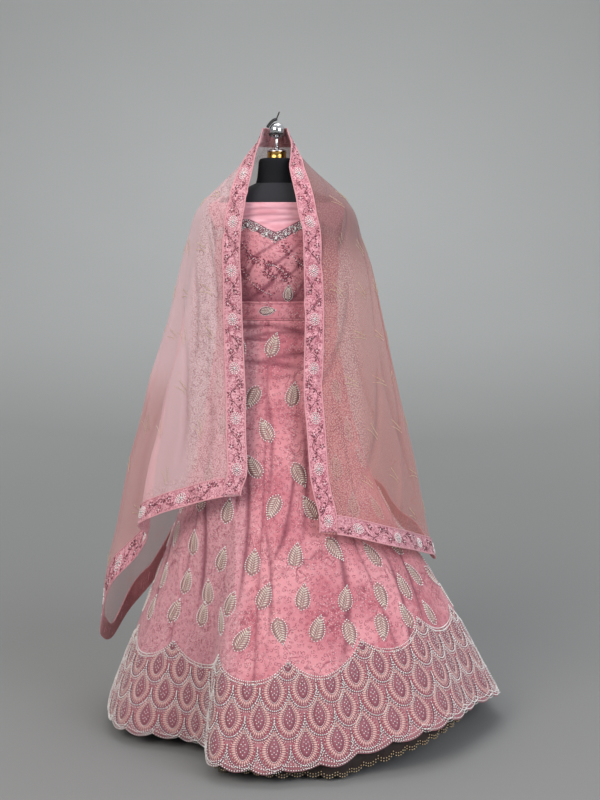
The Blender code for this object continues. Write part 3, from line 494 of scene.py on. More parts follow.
def turned(name, profile, material, steps=64):
    """A profile of (radius, height) points, top to bottom, carried round the axis; its ends are closed."""
    profile = np.array(profile, float)
    turn = np.linspace(0, 360, steps, endpoint=False)
    points = ring(turn[None, :], profile[:, 1:], *([profile[:, :1]] * 4))
    faces = grid_faces(len(profile), steps, closed=True)
    around = np.broadcast_to(np.linspace(0, 1, steps)[None, :], points.shape[:2])
    down = np.broadcast_to(np.linspace(0, 1, len(profile))[:, None], points.shape[:2])
    uv = np.stack([around, down], -1).reshape(-1, 2)[faces]
    piece = new_piece(name, points, faces, material, uv)
    close_ends(piece)
    return piece


def close_ends(piece):
    """Fill the open ends of a turned shape, or merge them where they meet the axis."""
    shape = bmesh.new()
    shape.from_mesh(piece.data)
    bmesh.ops.remove_doubles(shape, verts=shape.verts, dist=1e-6)
    bmesh.ops.holes_fill(shape, edges=[edge for edge in shape.edges if edge.is_boundary])
    bmesh.ops.recalc_face_normals(shape, faces=shape.faces)
    shape.to_mesh(piece.data)
    shape.free()
    piece.data.shade_smooth()
    piece.data.set_sharp_from_angle(angle=math.radians(35))


def add_node(tree, kind, settings=None, stops=None, take=0):
    """Add one node and return one of its outputs. Settings are its properties, its sockets' values
    and the outputs that its sockets join; stops are a ramp's places and grey values."""
    node = tree.nodes.new("ShaderNode" + kind)
    for key, value in (settings or {}).items():
        if isinstance(value, bpy.types.NodeSocket):
            tree.links.new(value, node.inputs[key])
        elif isinstance(key, str) and hasattr(node, key):
            setattr(node, key, value)
        else:
            node.inputs[key].default_value = value
    if stops:
        ramp = node.color_ramp
        for _ in stops[2:]:
            ramp.elements.new(0.5)
        for element, (place, shade) in zip(ramp.elements, stops):
            element.position = place
            element.color = (shade, shade, shade, 1.0)
    return node.outputs[take]


def new_material(name, **sockets):
    """A node material with the shader's own numbers; returns it, its tree and its shader."""
    material = bpy.data.materials.new(name)
    material.use_nodes = True
    tree = material.node_tree
    shader = tree.nodes["Principled BSDF"]
    for key, value in sockets.items():
        shader.inputs[key.replace("_", " ")].default_value = value
    return material, tree, shader


# A Mix node for colours, its two colour sockets and its output, and an Attribute node's number
COLOUR_MIX = {"data_type": "RGBA"}
MIX_A, MIX_B, MIX_OUT, NUMBER_OUT = 6, 7, 2, 2
# A noise over the cloth's own two coordinates
FLAT_NOISE = {"noise_dimensions": "2D"}


def embroidered_net(name, light, dark, thread, pale):
    """Net over satin, machine embroidered: rings of florets in cells 13 mm apart, thin maroon
    twigs, paler swirls of thread and scattered sequins. The ground is a busy pink, and painted
    shade turns it darker and duller in each crease. The threads are drawn a little coarser than real."""
    material, tree, shader = new_material(name, Roughness=0.72, Sheen_Weight=0.25, Sheen_Roughness=0.45,
            Specular_IOR_Level=0.3)
    uv = add_node(tree, "UVMap", {"uv_map": "cloth"})
    tint, shade, worked = (add_node(tree, "Attribute", {"attribute_name": key}, take=NUMBER_OUT)
            for key in ("tint", "shade", "worked"))
    cloud = add_node(tree, "TexNoise", {**FLAT_NOISE, "Scale": 7.0, "Detail": 3.0, "Vector": uv})
    patchy = add_node(tree, "ValToRGB", {0: cloud}, stops=((0.36, 0.0), (0.64, 1.0)))
    cells = add_node(tree, "TexVoronoi", {"voronoi_dimensions": "2D", "Scale": 74.0, "Randomness": 0.95,
            "Vector": uv})
    rings = add_node(tree, "ValToRGB", {0: cells}, stops=((0.0, 1.0), (0.08, 1.0), (0.13, 0.1), (0.18, 0.2),
            (0.22, 1.0), (0.31, 1.0), (0.38, 0.0)))
    dots = add_node(tree, "TexVoronoi", {"voronoi_dimensions": "2D", "Scale": 290.0, "Vector": uv})
    petals = add_node(tree, "ValToRGB", {0: dots}, stops=((0.34, 1.0), (0.52, 0.0)))
    florets = add_node(tree, "Math", {"operation": "MULTIPLY", 0: rings, 1: petals})
    lines = add_node(tree, "TexNoise", {**FLAT_NOISE, "Scale": 24.0, "Detail": 2.0, "Distortion": 0.7,
            "Vector": uv})
    twigs = add_node(tree, "ValToRGB", {0: lines}, stops=((0.455, 0.0), (0.485, 1.0), (0.505, 1.0),
            (0.535, 0.0)))
    spread = add_node(tree, "TexNoise", {**FLAT_NOISE, "Scale": 15.0, "Detail": 2.0, "Vector": uv})
    where = add_node(tree, "ValToRGB", {0: spread}, stops=((0.44, 0.0), (0.60, 0.9)))
    sprigs = add_node(tree, "Math", {"operation": "MULTIPLY", 0: twigs, 1: where})
    marks = add_node(tree, "Math", {"operation": "MAXIMUM", 0: florets, 1: sprigs})
    swirl = add_node(tree, "TexNoise", {**FLAT_NOISE, "Scale": 62.0, "Detail": 3.0, "Distortion": 1.4,
            "Vector": uv})
    curls = add_node(tree, "ValToRGB", {0: swirl}, stops=((0.40, 0.0), (0.45, 1.0), (0.49, 1.0), (0.53, 0.0)))
    pale_share = add_node(tree, "MapRange", {"To Min": 0.22, "To Max": 0.62, "Value": tint})
    pale_marks = add_node(tree, "Math", {"operation": "MULTIPLY", 0: curls, 1: pale_share})
    # Sequins as pale specks: their silver, drawn as a painted glint rather than a reflection
    sequins = add_node(tree, "TexVoronoi", {"voronoi_dimensions": "2D", "Scale": 118.0, "Vector": uv})
    sparkle = add_node(tree, "ValToRGB", {0: sequins}, stops=((0.10, 1.0), (0.16, 0.0)))
    sparkle_where = add_node(tree, "MapRange", {"From Min": 0.42, "From Max": 0.62, "To Min": 0.05,
            "To Max": 0.7, "Value": spread})
    glints = add_node(tree, "Math", {"operation": "MULTIPLY", 0: sparkle, 1: sparkle_where})
    marked = add_node(tree, "Math", {"operation": "MULTIPLY", 0: marks, 1: 0.80})
    duller = add_node(tree, "Math", {"operation": "MULTIPLY", 0: worked, 1: 0.7})
    colour = add_node(tree, "Mix", {**COLOUR_MIX, 0: patchy, MIX_A: light, MIX_B: dark}, take=MIX_OUT)
    # Each layer covers the ones before it by its share
    # The last layer, 7c3c4c, is painted shade, put where the cloth's shade values lie: creases, folds, seams
    # and the choli's lower part
    for share, layer in ((tint, hex_linear("cf929d")), (marked, thread), (pale_marks, pale),
            (glints, hex_linear("e6dcd8")), (duller, hex_linear("a66e76")), (shade, hex_linear("7c3c4c"))):
        colour = add_node(tree, "Mix", {**COLOUR_MIX, 0: share, MIX_A: colour, MIX_B: layer}, take=MIX_OUT)
    tree.links.new(colour, shader.inputs["Base Color"])
    raised = add_node(tree, "Math", {"operation": "ADD", 0: marks, 1: pale_marks})
    weave = add_node(tree, "TexNoise", {**FLAT_NOISE, "Scale": 190.0, "Detail": 2.0, "Vector": uv})
    height = add_node(tree, "Math", {"operation": "ADD", 0: raised, 1: weave})
    bump = add_node(tree, "Bump", {"Strength": 0.55, "Distance": 0.0009, "Height": height})
    tree.links.new(bump, shader.inputs["Normal"])
    return material


def plain_satin(name, light, dark):
    """Plain woven satin: a soft, even sheen with faint level ripples. Its 0.4 mm threads are
    drawn 3.2 mm wide so that they show."""
    material, tree, shader = new_material(name, Roughness=0.52, Sheen_Weight=0.35, Sheen_Roughness=0.4)
    uv = add_node(tree, "UVMap", {"uv_map": "cloth"})
    long_way = add_node(tree, "Mapping", {"Scale": (14.0, 60.0, 1.0), "Vector": uv})
    ripple = add_node(tree, "TexNoise", {**FLAT_NOISE, "Scale": 1.0, "Detail": 3.0, "Vector": long_way})
    soft = add_node(tree, "ValToRGB", {0: ripple}, stops=((0.35, 0.0), (0.68, 1.0)))
    # Painted shade: the shade values darken the satin in its creases
    shade = add_node(tree, "Attribute", {"attribute_name": "shade"}, take=NUMBER_OUT)
    ground = add_node(tree, "Mix", {**COLOUR_MIX, 0: soft, MIX_A: light, MIX_B: dark}, take=MIX_OUT)
    shaded_colour = add_node(tree, "Mix", {**COLOUR_MIX, 0: shade, MIX_A: ground, MIX_B: hex_linear("9a5a68")},
            take=MIX_OUT)
    tree.links.new(shaded_colour, shader.inputs["Base Color"])
    weave = add_node(tree, "TexWave", {"wave_type": "BANDS", "bands_direction": "Y", "Scale": 98.0,
            "Distortion": 0.4, "Vector": uv})
    height = add_node(tree, "Mix", {**COLOUR_MIX, 0: 0.75, MIX_A: weave, MIX_B: ripple}, take=MIX_OUT)
    bump = add_node(tree, "Bump", {"Strength": 0.4, "Distance": 0.0008, "Height": height})
    tree.links.new(bump, shader.inputs["Normal"])
    return material


def border_velvet(name, light, dark):
    """Short-pile velvet, pressed in places: the nap catches light at grazing angles and turns
    darker where it was crushed, in patches about 18 mm wide."""
    material, tree, shader = new_material(name, Roughness=0.85, Sheen_Weight=0.55, Sheen_Roughness=0.35,
            Specular_IOR_Level=0.2)
    uv = add_node(tree, "UVMap", {"uv_map": "cloth"})
    crush = add_node(tree, "TexNoise", {**FLAT_NOISE, "Scale": 55.0, "Detail": 4.0, "Distortion": 0.4,
            "Vector": uv})
    pressed = add_node(tree, "ValToRGB", {0: crush}, stops=((0.38, 0.0), (0.66, 1.0)))
    tint = add_node(tree, "Attribute", {"attribute_name": "tint"}, take=NUMBER_OUT)
    crushed = add_node(tree, "Math", {"operation": "MULTIPLY", 1: 0.45, 0: pressed})
    # Painted light: the left border is drawn paler and the hem border less, by each strip's tint
    lit_side_share = add_node(tree, "Math", {"operation": "MULTIPLY", 0: tint, 1: 0.8})
    # Maroon couching between the stems, in curls about 9 mm across
    coils = add_node(tree, "TexNoise", {**FLAT_NOISE, "Scale": 105.0, "Detail": 2.0, "Distortion": 1.6,
            "Vector": uv})
    couched = add_node(tree, "ValToRGB", {0: coils}, stops=((0.39, 0.0), (0.44, 0.9), (0.50, 0.9),
            (0.55, 0.0)))
    colour = add_node(tree, "Mix", {**COLOUR_MIX, 0: crushed, MIX_A: light, MIX_B: dark}, take=MIX_OUT)
    for share, layer in ((lit_side_share, hex_linear("deabb4")), (couched, hex_linear("9a4c5e"))):
        colour = add_node(tree, "Mix", {**COLOUR_MIX, 0: share, MIX_A: colour, MIX_B: layer}, take=MIX_OUT)
    tree.links.new(colour, shader.inputs["Base Color"])
    nap = add_node(tree, "TexNoise", {**FLAT_NOISE, "Scale": 700.0, "Detail": 2.0, "Vector": uv})
    height = add_node(tree, "Mix", {**COLOUR_MIX, 0: 0.6, MIX_A: nap, MIX_B: couched}, take=MIX_OUT)
    bump = add_node(tree, "Bump", {"Strength": 0.5, "Distance": 0.0010, "Height": height})
    tree.links.new(bump, shader.inputs["Normal"])
    return material


def sheer_net(name, cool, warm, bead):
    """Soft nylon net with 1 mm holes, far too fine to draw, so it is a veil that lets some 60 % of
    the light through. Beside the border it carries a dense field of thread dots and sequins."""
    material, tree, shader = new_material(name, Roughness=0.6, Sheen_Weight=0.3, Sheen_Roughness=0.5,
            Specular_IOR_Level=0.25)
    uv = add_node(tree, "UVMap", {"uv_map": "cloth"})
    tint, shade, worked = (add_node(tree, "Attribute", {"attribute_name": key}, take=NUMBER_OUT)
            for key in ("tint", "shade", "worked"))
    dots = add_node(tree, "TexVoronoi", {"voronoi_dimensions": "2D", "Scale": 230.0, "Vector": uv})
    dotted = add_node(tree, "ValToRGB", {0: dots}, stops=((0.16, 0.85), (0.34, 0.0)))
    swirl = add_node(tree, "TexNoise", {**FLAT_NOISE, "Scale": 60.0, "Detail": 3.0, "Distortion": 1.5,
            "Vector": uv})
    curls = add_node(tree, "ValToRGB", {0: swirl}, stops=((0.40, 0.0), (0.46, 1.0), (0.52, 0.0)))
    thread = add_node(tree, "Math", {"operation": "MULTIPLY", 0: curls, 1: worked})
    points = add_node(tree, "Math", {"operation": "MULTIPLY", 0: dotted, 1: worked})
    colour = add_node(tree, "Mix", {**COLOUR_MIX, 0: tint, MIX_A: warm, MIX_B: cool}, take=MIX_OUT)
    # The last layer, 7a5054, is painted shade from the shade values, in creases and towards the right
    # shoulder; painted shade also makes the veil thicker
    for share, layer in ((thread, hex_linear("8e4c5a")), (points, bead), (shade, hex_linear("7a5054"))):
        colour = add_node(tree, "Mix", {**COLOUR_MIX, 0: share, MIX_A: colour, MIX_B: layer}, take=MIX_OUT)
    tree.links.new(colour, shader.inputs["Base Color"])
    body = add_node(tree, "MapRange", {"To Min": 0.40, "To Max": 0.42, "Value": worked})
    marks = add_node(tree, "Math", {"operation": "MAXIMUM", 0: thread, 1: points})
    dense = add_node(tree, "Math", {"operation": "MULTIPLY_ADD", 1: 0.26, 0: marks, 2: body})
    veil = add_node(tree, "Math", {"operation": "MULTIPLY_ADD", "use_clamp": True, 0: shade, 1: 0.30,
            2: dense})
    tree.links.new(veil, shader.inputs["Alpha"])
    bump = add_node(tree, "Bump", {"Strength": 0.35, "Distance": 0.0006, "Height": marks})
    tree.links.new(bump, shader.inputs["Normal"])
    return material


def corded_thread(name, light, dark, pitch):
    """Satin stitch laid side by side: ridges of thread with shadow between them, one every pitch."""
    material, tree, shader = new_material(name, Roughness=0.45, Sheen_Weight=0.2, Specular_IOR_Level=0.5)
    uv = add_node(tree, "UVMap", {"uv_map": "cloth"})
    # A band texture repeats every 2 pi / 20 of its scaled length
    waves = add_node(tree, "TexWave", {"wave_type": "BANDS", "bands_direction": "X",
            "Scale": math.pi / 10 / pitch, "Vector": uv})
    ridge = add_node(tree, "ValToRGB", {0: waves}, stops=((0.18, 0.0), (0.55, 1.0)))
    tree.links.new(add_node(tree, "Mix", {**COLOUR_MIX, 0: ridge, MIX_A: dark, MIX_B: light}, take=MIX_OUT),
            shader.inputs["Base Color"])
    bump = add_node(tree, "Bump", {"Strength": 0.6, "Distance": 0.0006, "Height": waves})
    tree.links.new(bump, shader.inputs["Normal"])
    return material


def grained(name, colour, darker, scale, strength, **sockets):
    """A finish with a fine grain in its own Object coordinates: jersey, powder coat, thread or
    plate. The grain varies the colour a little and roughens the highlight."""
    material, tree, shader = new_material(name, **sockets)
    place = add_node(tree, "TexCoord", take=3)
    grain = add_node(tree, "TexNoise", {"Scale": scale, "Detail": 3.0, "Vector": place})
    tree.links.new(add_node(tree, "Mix", {**COLOUR_MIX, 0: grain, MIX_A: darker, MIX_B: colour},
            take=MIX_OUT), shader.inputs["Base Color"])
    bump = add_node(tree, "Bump", {"Strength": strength, "Distance": 0.0004, "Height": grain})
    tree.links.new(bump, shader.inputs["Normal"])
    return material


# The hem's border: where its first cusp is, its arcs round the hem with their petals, and how far
# above the hem its upper line lies at a cusp and in the middle of an arc
BORDER_CUSP_ANGLE = 356.4
BORDER_ARCS = 14
PETALS_PER_ARC = 3
BORDER_CUSP_RISE = 0.243
BORDER_LOW_RISE = 0.196
# Length along the sloping cloth for each metre of height
SLOPE_RUN = 1.085
CLOTH_WALL, THIN_WALL = 0.0012, 0.0010
# The brown layer's scallops: their height, and half their number round the body
UNDER_SCALLOP, UNDER_LOBES = 0.011, 50.0
# Where the brown layer starts, and the lowest height at which it still follows the skirt's ring
UNDER_TOP_Z, UNDER_RING_Z = 0.34, 0.034


def cloth_run(cloth, height):
    """Angles round a cloth and the length along it up to each of them, at a height for each angle."""
    angle = np.linspace(0.0, 360.0, 1441)
    points = cloth(angle, height(angle))
    step = np.linalg.norm(np.diff(points, axis=0), axis=-1)
    return angle, np.concatenate([[0.0], np.cumsum(step)])


def angle_at(run, table):
    """The angle at a length along the cloth, counted round and round."""
    angle, length = table
    turns = np.floor(run / length[-1])
    return np.interp(run - turns * length[-1], length, angle) + 360.0 * turns


def border_run():
    """The border's own measure: along the cloth 12 cm above the hem."""
    return cloth_run(skirt_cloth, lambda angle: skirt_hem(angle) + 0.12)


def border_rise(angle, table):
    """Height of the beaded scallop line above the hem: low in the middle of each arc, with cusps."""
    start = np.interp(BORDER_CUSP_ANGLE, *table)
    run = np.interp(np.asarray(angle) % 360.0, *table)
    across = ((run - start) / table[1][-1] * BORDER_ARCS) % 1.0
    return BORDER_LOW_RISE + (BORDER_CUSP_RISE - BORDER_LOW_RISE) * np.abs(2 * across - 1) ** 2.2


def left_tint(angle):
    """1 where the panels are the mauve, thread-covered ones, 0 where they are salmon; on the
    front-left it is also painted light, the lit side drawn paler and cooler.
    """
    angle = np.asarray(angle) % 360.0
    near = ease_step(angle, 9.0, 21.0) - ease_step(angle, 125.0, 160.0)
    far = ease_step(angle, 205.0, 225.0) - ease_step(angle, 270.0, 285.0)
    return 0.85 * near + 0.6 * far


def painted_crease_shade(creases, points, angle, z, depth=0.0036):
    """Painted shade for creases: a crease's depth as a share, none on a ridge."""
    return np.clip(-crease_depth(creases, angle, z, axis_distance(points)) / depth, 0.0, 0.75)


def skirt_panels(material):
    """Eight flared panels as one tube: angle by height, the last row on the scalloped hem."""
    across = 60
    columns = KALI_COUNT * across
    down = np.concatenate([np.linspace(0, 0.2, 34, endpoint=False), np.linspace(0.2, 1.0, 62)])[:, None]
    angle = (KALI_FIRST_SEAM + np.arange(columns) * 360.0 / columns)[None, :]
    z = WAIST_SEAM_Z + (skirt_hem(angle) - WAIST_SEAM_Z) * down
    points = push_out(skirt_cloth(angle, z), 0.0010 + 0 * z)
    table = border_run()
    angle = angle + 0 * z
    line = skirt_hem(angle) + border_rise(angle, table)
    worked = ease_step(line - z, -0.001, 0.006)
    # Painted shade: darker in the creases, the gathers and the deep fold's hollow; the cloth is also darker
    # along each seam
    fold_shade = np.clip(-fold_depth(SKIRT_FOLDS, angle, z, SKIRT_FOLDS_FULL_Z) / 0.12, 0.0, 1.0)
    shade = np.clip(painted_crease_shade(SKIRT_CREASES + GATHERS, points, angle, z) + 0.35 * fold_shade, 0.0, 0.8)
    shade = np.maximum(shade, 0.5 * seam_bell(points, angle, SEAM_SHADE_WIDTH))
    # Each panel's pattern starts from its own middle line, as on cut cloth
    faces = grid_faces(*points.shape[:2], closed=True)
    face_column = np.tile(np.arange(columns), len(down) - 1)
    middle = KALI_FIRST_SEAM + (face_column // across + 0.5) * PANEL_TURN
    corner_angle = apart(angle.reshape(-1)[faces], middle[:, None])
    flat_radius = axis_distance(section_ring(SKIRT_SECTIONS, angle, z))
    run_down = run_lengths(points, 0)
    sideways = np.radians(corner_angle) * flat_radius.reshape(-1)[faces]
    uv = np.stack([sideways + (face_column // across)[:, None] * 0.61, -run_down.reshape(-1)[faces]], axis=-1)
    values = {"tint": left_tint(angle), "shade": shade, "worked": worked}
    skirt = sheet_piece("skirt_panels", points, material, uv, values, closed=True, wall=CLOTH_WALL)
    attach(skirt, "root")
    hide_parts(*(f"kali_{number + 1}" for number in range(KALI_COUNT)))
    return skirt


def waistband(material):
    """One strip round the waist, softly rippled, with a stitched edge above and below."""
    angle = np.linspace(90.3, 449.7, 361)[None, :]
    profile = np.array([(1.1496, 0.0006), (1.1488, 0.0022), (1.1470, 0.0030), (1.1440, 0.0026),
            (1.1420, 0.0030), (1.1340, 0.0034), (1.1250, 0.0032), (1.1160, 0.0034), (1.1080, 0.0030),
            (1.1062, 0.0024), (1.1040, 0.0030), (1.1018, 0.0024), (1.1006, 0.0006)])
    z = profile[:, :1] + 0 * angle
    ripple = 0.0007 * np.sin(np.radians(angle) * 23 + 3 * np.sin(np.radians(angle) * 5)) \
        * np.sin((z - WAIST_SEAM_Z) / 0.05 * np.pi)
    points = push_out(section_ring(SKIRT_SECTIONS, angle, z), profile[:, 1:] + ripple - 0.0006)
    uv = np.stack([run_lengths(points, 1) + 4.0, z * 1.0], -1)
    seam = np.clip(np.exp(-((z - 1.1062) / 0.0012) ** 2) + np.exp(-((z - 1.1440) / 0.0014) ** 2), 0, 1) * 0.6
    values = {"tint": 0.1 + 0 * z, "shade": seam, "worked": 0 * z}
    band = sheet_piece("waistband_cloth", points, material, uv, values, wall=CLOTH_WALL)
    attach(band, "root")
    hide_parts("waistband")
    return band


def under_edge(angle):
    """The brown layer's lower edge: it shows 45 mm below the hem at most, in front, and lies above
    the hem at the back; its scallops are 34 mm wide."""
    shows = -0.020 + 0.065 * np.clip(1 - np.abs(apart(angle, 345.0)) / 52.0, 0.0, 1.0) ** 0.5
    smooth = np.maximum(column(UNDER_HEM, "z", "angle", angle), skirt_hem_smooth(angle) - shows)
    scallop = np.abs(np.sin(np.radians(angle) * UNDER_LOBES)) ** 0.7 - 0.5
    return np.maximum(smooth - UNDER_SCALLOP * scallop, 0.0045)


def under_layer(material):
    """The brown layer below the hem: a tube inside the panels, 6 mm from them at its top and 21 mm
    at its scalloped lower edge."""
    columns = 640
    angle = (np.arange(columns) * 360.0 / columns)[None, :]
    down = np.linspace(0, 1, 12)[:, None]
    low = under_edge(angle)
    z = UNDER_TOP_Z + (low - UNDER_TOP_Z) * down
    points = creased(folded_skirt(angle, np.maximum(z, UNDER_RING_Z)), SKIRT_CREASES, angle, z)
    points = push_out(points, -0.006 - 0.015 * down + 0 * angle)
    points[..., 2] = z
    uv = np.stack([np.radians(angle + 0 * z) * 0.5, z], -1)
    faces = grid_faces(*points.shape[:2], closed=True)
    layer = sheet_piece("under_layer", points, material, uv.reshape(-1, 2)[faces], {"shade": 0 * z},
            closed=True, wall=THIN_WALL)
    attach(layer, "root")
    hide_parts("under_hem_1", "under_hem_2")
    return layer


# Rows of leaves up the skirt: height, how many round, where the first one is
LeafRow = namedtuple("LeafRow", "z count first")
LEAF_ROWS = named_rows(LeafRow,
    (1.022, 9, 2.0), (0.92, 9, 20.0), (0.815, 10, 4.0), (0.715, 12, 17.0), (0.62, 15, 3.0),
    (0.515, 19, 9.0), (0.415, 24, 3.0), (0.34, 28, 358.0))
# The least room between a leaf's lower tip and the hem's border
LEAF_CLEAR = 0.012

# Bands of a hem petal, from its edge inwards: inset and thickness along the cloth, height over
# it and wall. The first follows the open edge, the others are closed drops
PetalBand = namedtuple("PetalBand", "name inset thick lift wall finish open")
PETAL_BANDS = (
    PetalBand("edge", -0.0022, 0.0046, 0.0017, 0.0006, "dark_line", True),
    PetalBand("rose", 0.0044, 0.0040, 0.0019, 0.0010, "rose_band", False),
    PetalBand("corded", 0.0084, 0.0084, 0.0022, 0.0014, "corded", False),
    PetalBand("heart", 0.0210, 0.0175, 0.0019, 0.0008, "heart", False),
)
PETAL_ROW_BOTTOM, PETAL_ROW_STEP = 0.006, 0.070
PETAL_BEAD_LIFT, SCALLOP_BEAD_LIFT = 0.0030, 0.0018
PETAL_SHOULDER = 0.052
PETAL_WIDEST, PETAL_TIP = 0.049, 0.100
PETAL_EDGE_BEADS, PETAL_RING_BEADS = 25, 27
BAND_RING_INSET, HEART_RING_INSET = 0.0064, 0.0195
# Beads in a petal's heart, in the tip above it and between two petals at the hem: across, up
HEART_BEADS = ((0, -0.017), (-0.005, -0.010), (0.005, -0.010), (0, -0.006), (-0.008, -0.002),
        (0.008, -0.002), (0, 0.004), (-0.005, 0.008), (0.005, 0.008), (0, 0.014), (0, 0.022))
TIP_BEADS = ((0, 0.097), (-0.0035, 0.102), (0.0035, 0.102), (0, 0.107), (0, 0.113), (0, 0.119),
        (-0.011, 0.088), (0.011, 0.088), (-0.0075, 0.094), (0.0075, 0.094), (-0.022, 0.076), (0.022, 0.076),
        (-0.017, 0.082), (0.017, 0.082))
EDGE_FILL_BEADS = ((0, 0.036), (0, 0.030), (-0.003, 0.024), (0.003, 0.024), (0, 0.018), (-0.006, 0.013),
        (0.006, 0.013), (0, 0.009), (-0.010, 0.005), (0.010, 0.005))


class Motifs:
    """Gathers points laid out flat, in metres from a motif's centre, and sets them on a cloth.

    A flat point (across, up) becomes a length along the cloth's run at the motif's height and a
    height up its slope; its direction turns with it."""

    def __init__(self, cloth):
        self.cloth = cloth
        self.angle, self.z, self.turn = [], [], []

    def add(self, table, centre_run, centre_z, across, up, turn, slope=SLOPE_RUN):
        """Lay down points; turn is each one's own direction in degrees from level."""
        across, up = np.asarray(across, float), np.asarray(up, float)
        self.angle.append(angle_at(centre_run + across, table))
        self.z.append(centre_z + up / slope + 0 * across)
        self.turn.append(np.radians(turn) + 0 * across)

    def placed(self):
        """Points, directions along each mark, and outward directions."""
        angle, z, turn = joined(self.angle, self.z, self.turn)
        points, level, upward, outward = on_cloth(self.cloth, angle, z)
        along = level * np.cos(turn)[:, None] + upward * np.sin(turn)[:, None]
        return points, along, outward


def leaf_half_width(t, width):
    """Half width of an ovate leaf from its base (0) to its pointed tip (1)."""
    return width / 2 * np.sin(np.pi * t ** 0.72) ** 0.75


def leaves(cloth, length, width, tables):
    """Outline beads, herringbone stitches, centre veins and grounds of leaves in staggered rows."""
    beads, stitches, veins = Motifs(cloth), Motifs(cloth), Motifs(cloth)
    grounds = []
    chance = np.random.default_rng(7)
    for row, table in zip(LEAF_ROWS, tables):
        total = table[1][-1]
        start = np.interp(row.first, *table)
        for k in range(row.count):
            centre = start + total * (k + chance.uniform(-0.12, 0.12)) / row.count
            z = row.z + chance.uniform(-0.018, 0.018)
            # About one leaf in five hangs upside down
            lean = chance.uniform(-34.0, 34.0) + (180.0 if chance.random() < 0.22 else 0.0)
            angle_here = angle_at(centre, table) % 360.0
            if z - length / 2 < skirt_hem(angle_here) + BORDER_LOW_RISE + LEAF_CLEAR:
                continue
            add_leaf(beads, stitches, veins, grounds, table, centre, z, lean, length, width)
    return beads, stitches, veins, grounds


def add_leaf(beads, stitches, veins, grounds, table, centre, z, lean, length, width):
    """One leaf, turned by its lean: everything is laid out upright and then turned."""
    side, rise = math.cos(math.radians(lean)), math.sin(math.radians(lean))

    def lay(motifs, across, up, turn):
        motifs.add(table, centre, z, across * side - up * rise, across * rise + up * side, turn + lean)

    t = np.linspace(0.03, 0.97, 12)
    half = leaf_half_width(t, width)
    up = (t - 0.5) * length
    for way in (-1, 1):
        lay(beads, way * half, up, 90.0)
    lay(beads, np.array([0.0, 0.0]), np.array([-0.52, 0.53]) * length, 90.0)
    steps = np.linspace(0.12, 0.80, 8)
    reach = leaf_half_width(np.clip(steps + 0.10, 0, 1), width) * 0.80
    for way in (-1, 1):
        lay(stitches, way * reach * 0.52, (steps - 0.5) * length + reach * 0.34, 90.0 - way * 56.0)
    lay(veins, 0 * steps, (steps - 0.5) * length, 90.0)
    grid_t = np.linspace(0.0, 1.0, 9)[::-1, None]
    grid_s = np.linspace(-1.0, 1.0, 5)[None, :]
    across = grid_s * leaf_half_width(np.clip(grid_t, 0.004, 0.996), width) * 0.97
    up = (grid_t - 0.5) * length + 0 * across
    flat_across = across * side - up * rise
    flat_up = across * rise + up * side
    grounds.append((angle_at(centre + flat_across, table), z + flat_up / SLOPE_RUN))


LEAF_LIFT = 0.0016


def leaf_marks(prefix, marks, sizes, finishes, lift, fine=False):
    """The beads, the stitches and the veins of leaves, each kind joined in one mesh."""
    made = []
    for part, motifs, size, finish in zip(("beads", "stitches", "veins"), marks, sizes,
            ("silver", "cream", "cream")):
        points, along, out = motifs.placed()
        made.append(grains(f"{prefix}_{part}", points, along, out, size, finishes[finish], lift,
                fine=fine and part == "beads"))
    return made


def leaf_pieces(settings, finishes):
    """All the leaves of the skirt: four joined meshes."""
    tables = [cloth_run(skirt_cloth, lambda angle, row=row: row.z + 0 * angle) for row in LEAF_ROWS]
    beads, stitches, veins, grounds = leaves(skirt_cloth, settings.leaf_length,
            settings.leaf_width, tables)
    made = leaf_marks("leaf", (beads, stitches, veins), (settings.bead_diameter / 2,
            (settings.leaf_width * 0.235, 0.0019, 0.0013), (settings.leaf_length * 0.062, 0.0012, 0.0012)),
            finishes, LEAF_LIFT, fine=True)
    angle = np.stack([ground[0] for ground in grounds])
    z = np.stack([ground[1] for ground in grounds])
    points, _, _, out = on_cloth(skirt_cloth, angle, z)
    uv = np.stack([angle * 0.01, z], -1)
    made.append(patches("leaf_grounds", points + out * (LEAF_LIFT + 0.0001), uv, finishes["leaf_ground"],
            0.0006))
    return made


def petal_outline(t, width, depth):
    """A hanging petal's edge, half an ellipse: t from -1 to 1, upright where it meets its neighbours."""
    return width / 2 * np.sin(np.pi / 2 * t), depth * (1 - np.cos(np.pi / 2 * t))


def petal_loop(t, pitch, inset):
    """A closed drop inside a petal, t from -1 to 1: half an ellipse below the petal's widest
    height, and above it two sides that close to a point."""
    half = pitch / 2 - 1.15 * inset
    wide, tip = PETAL_WIDEST, PETAL_TIP - 0.8 * inset
    climb = np.clip(2 * np.abs(t) - 1, 0.0, 1.0)
    below = np.abs(t) < 0.5
    point = 1 - 0.16 * np.cos(np.pi * t) ** 2
    x = np.where(below, half * point * np.sin(np.pi * t), half * np.sign(t) * (1 - climb ** 1.5))
    y = np.where(below, wide - (wide - inset) * np.cos(np.pi * t), wide + (tip - wide) * climb)
    return x, y


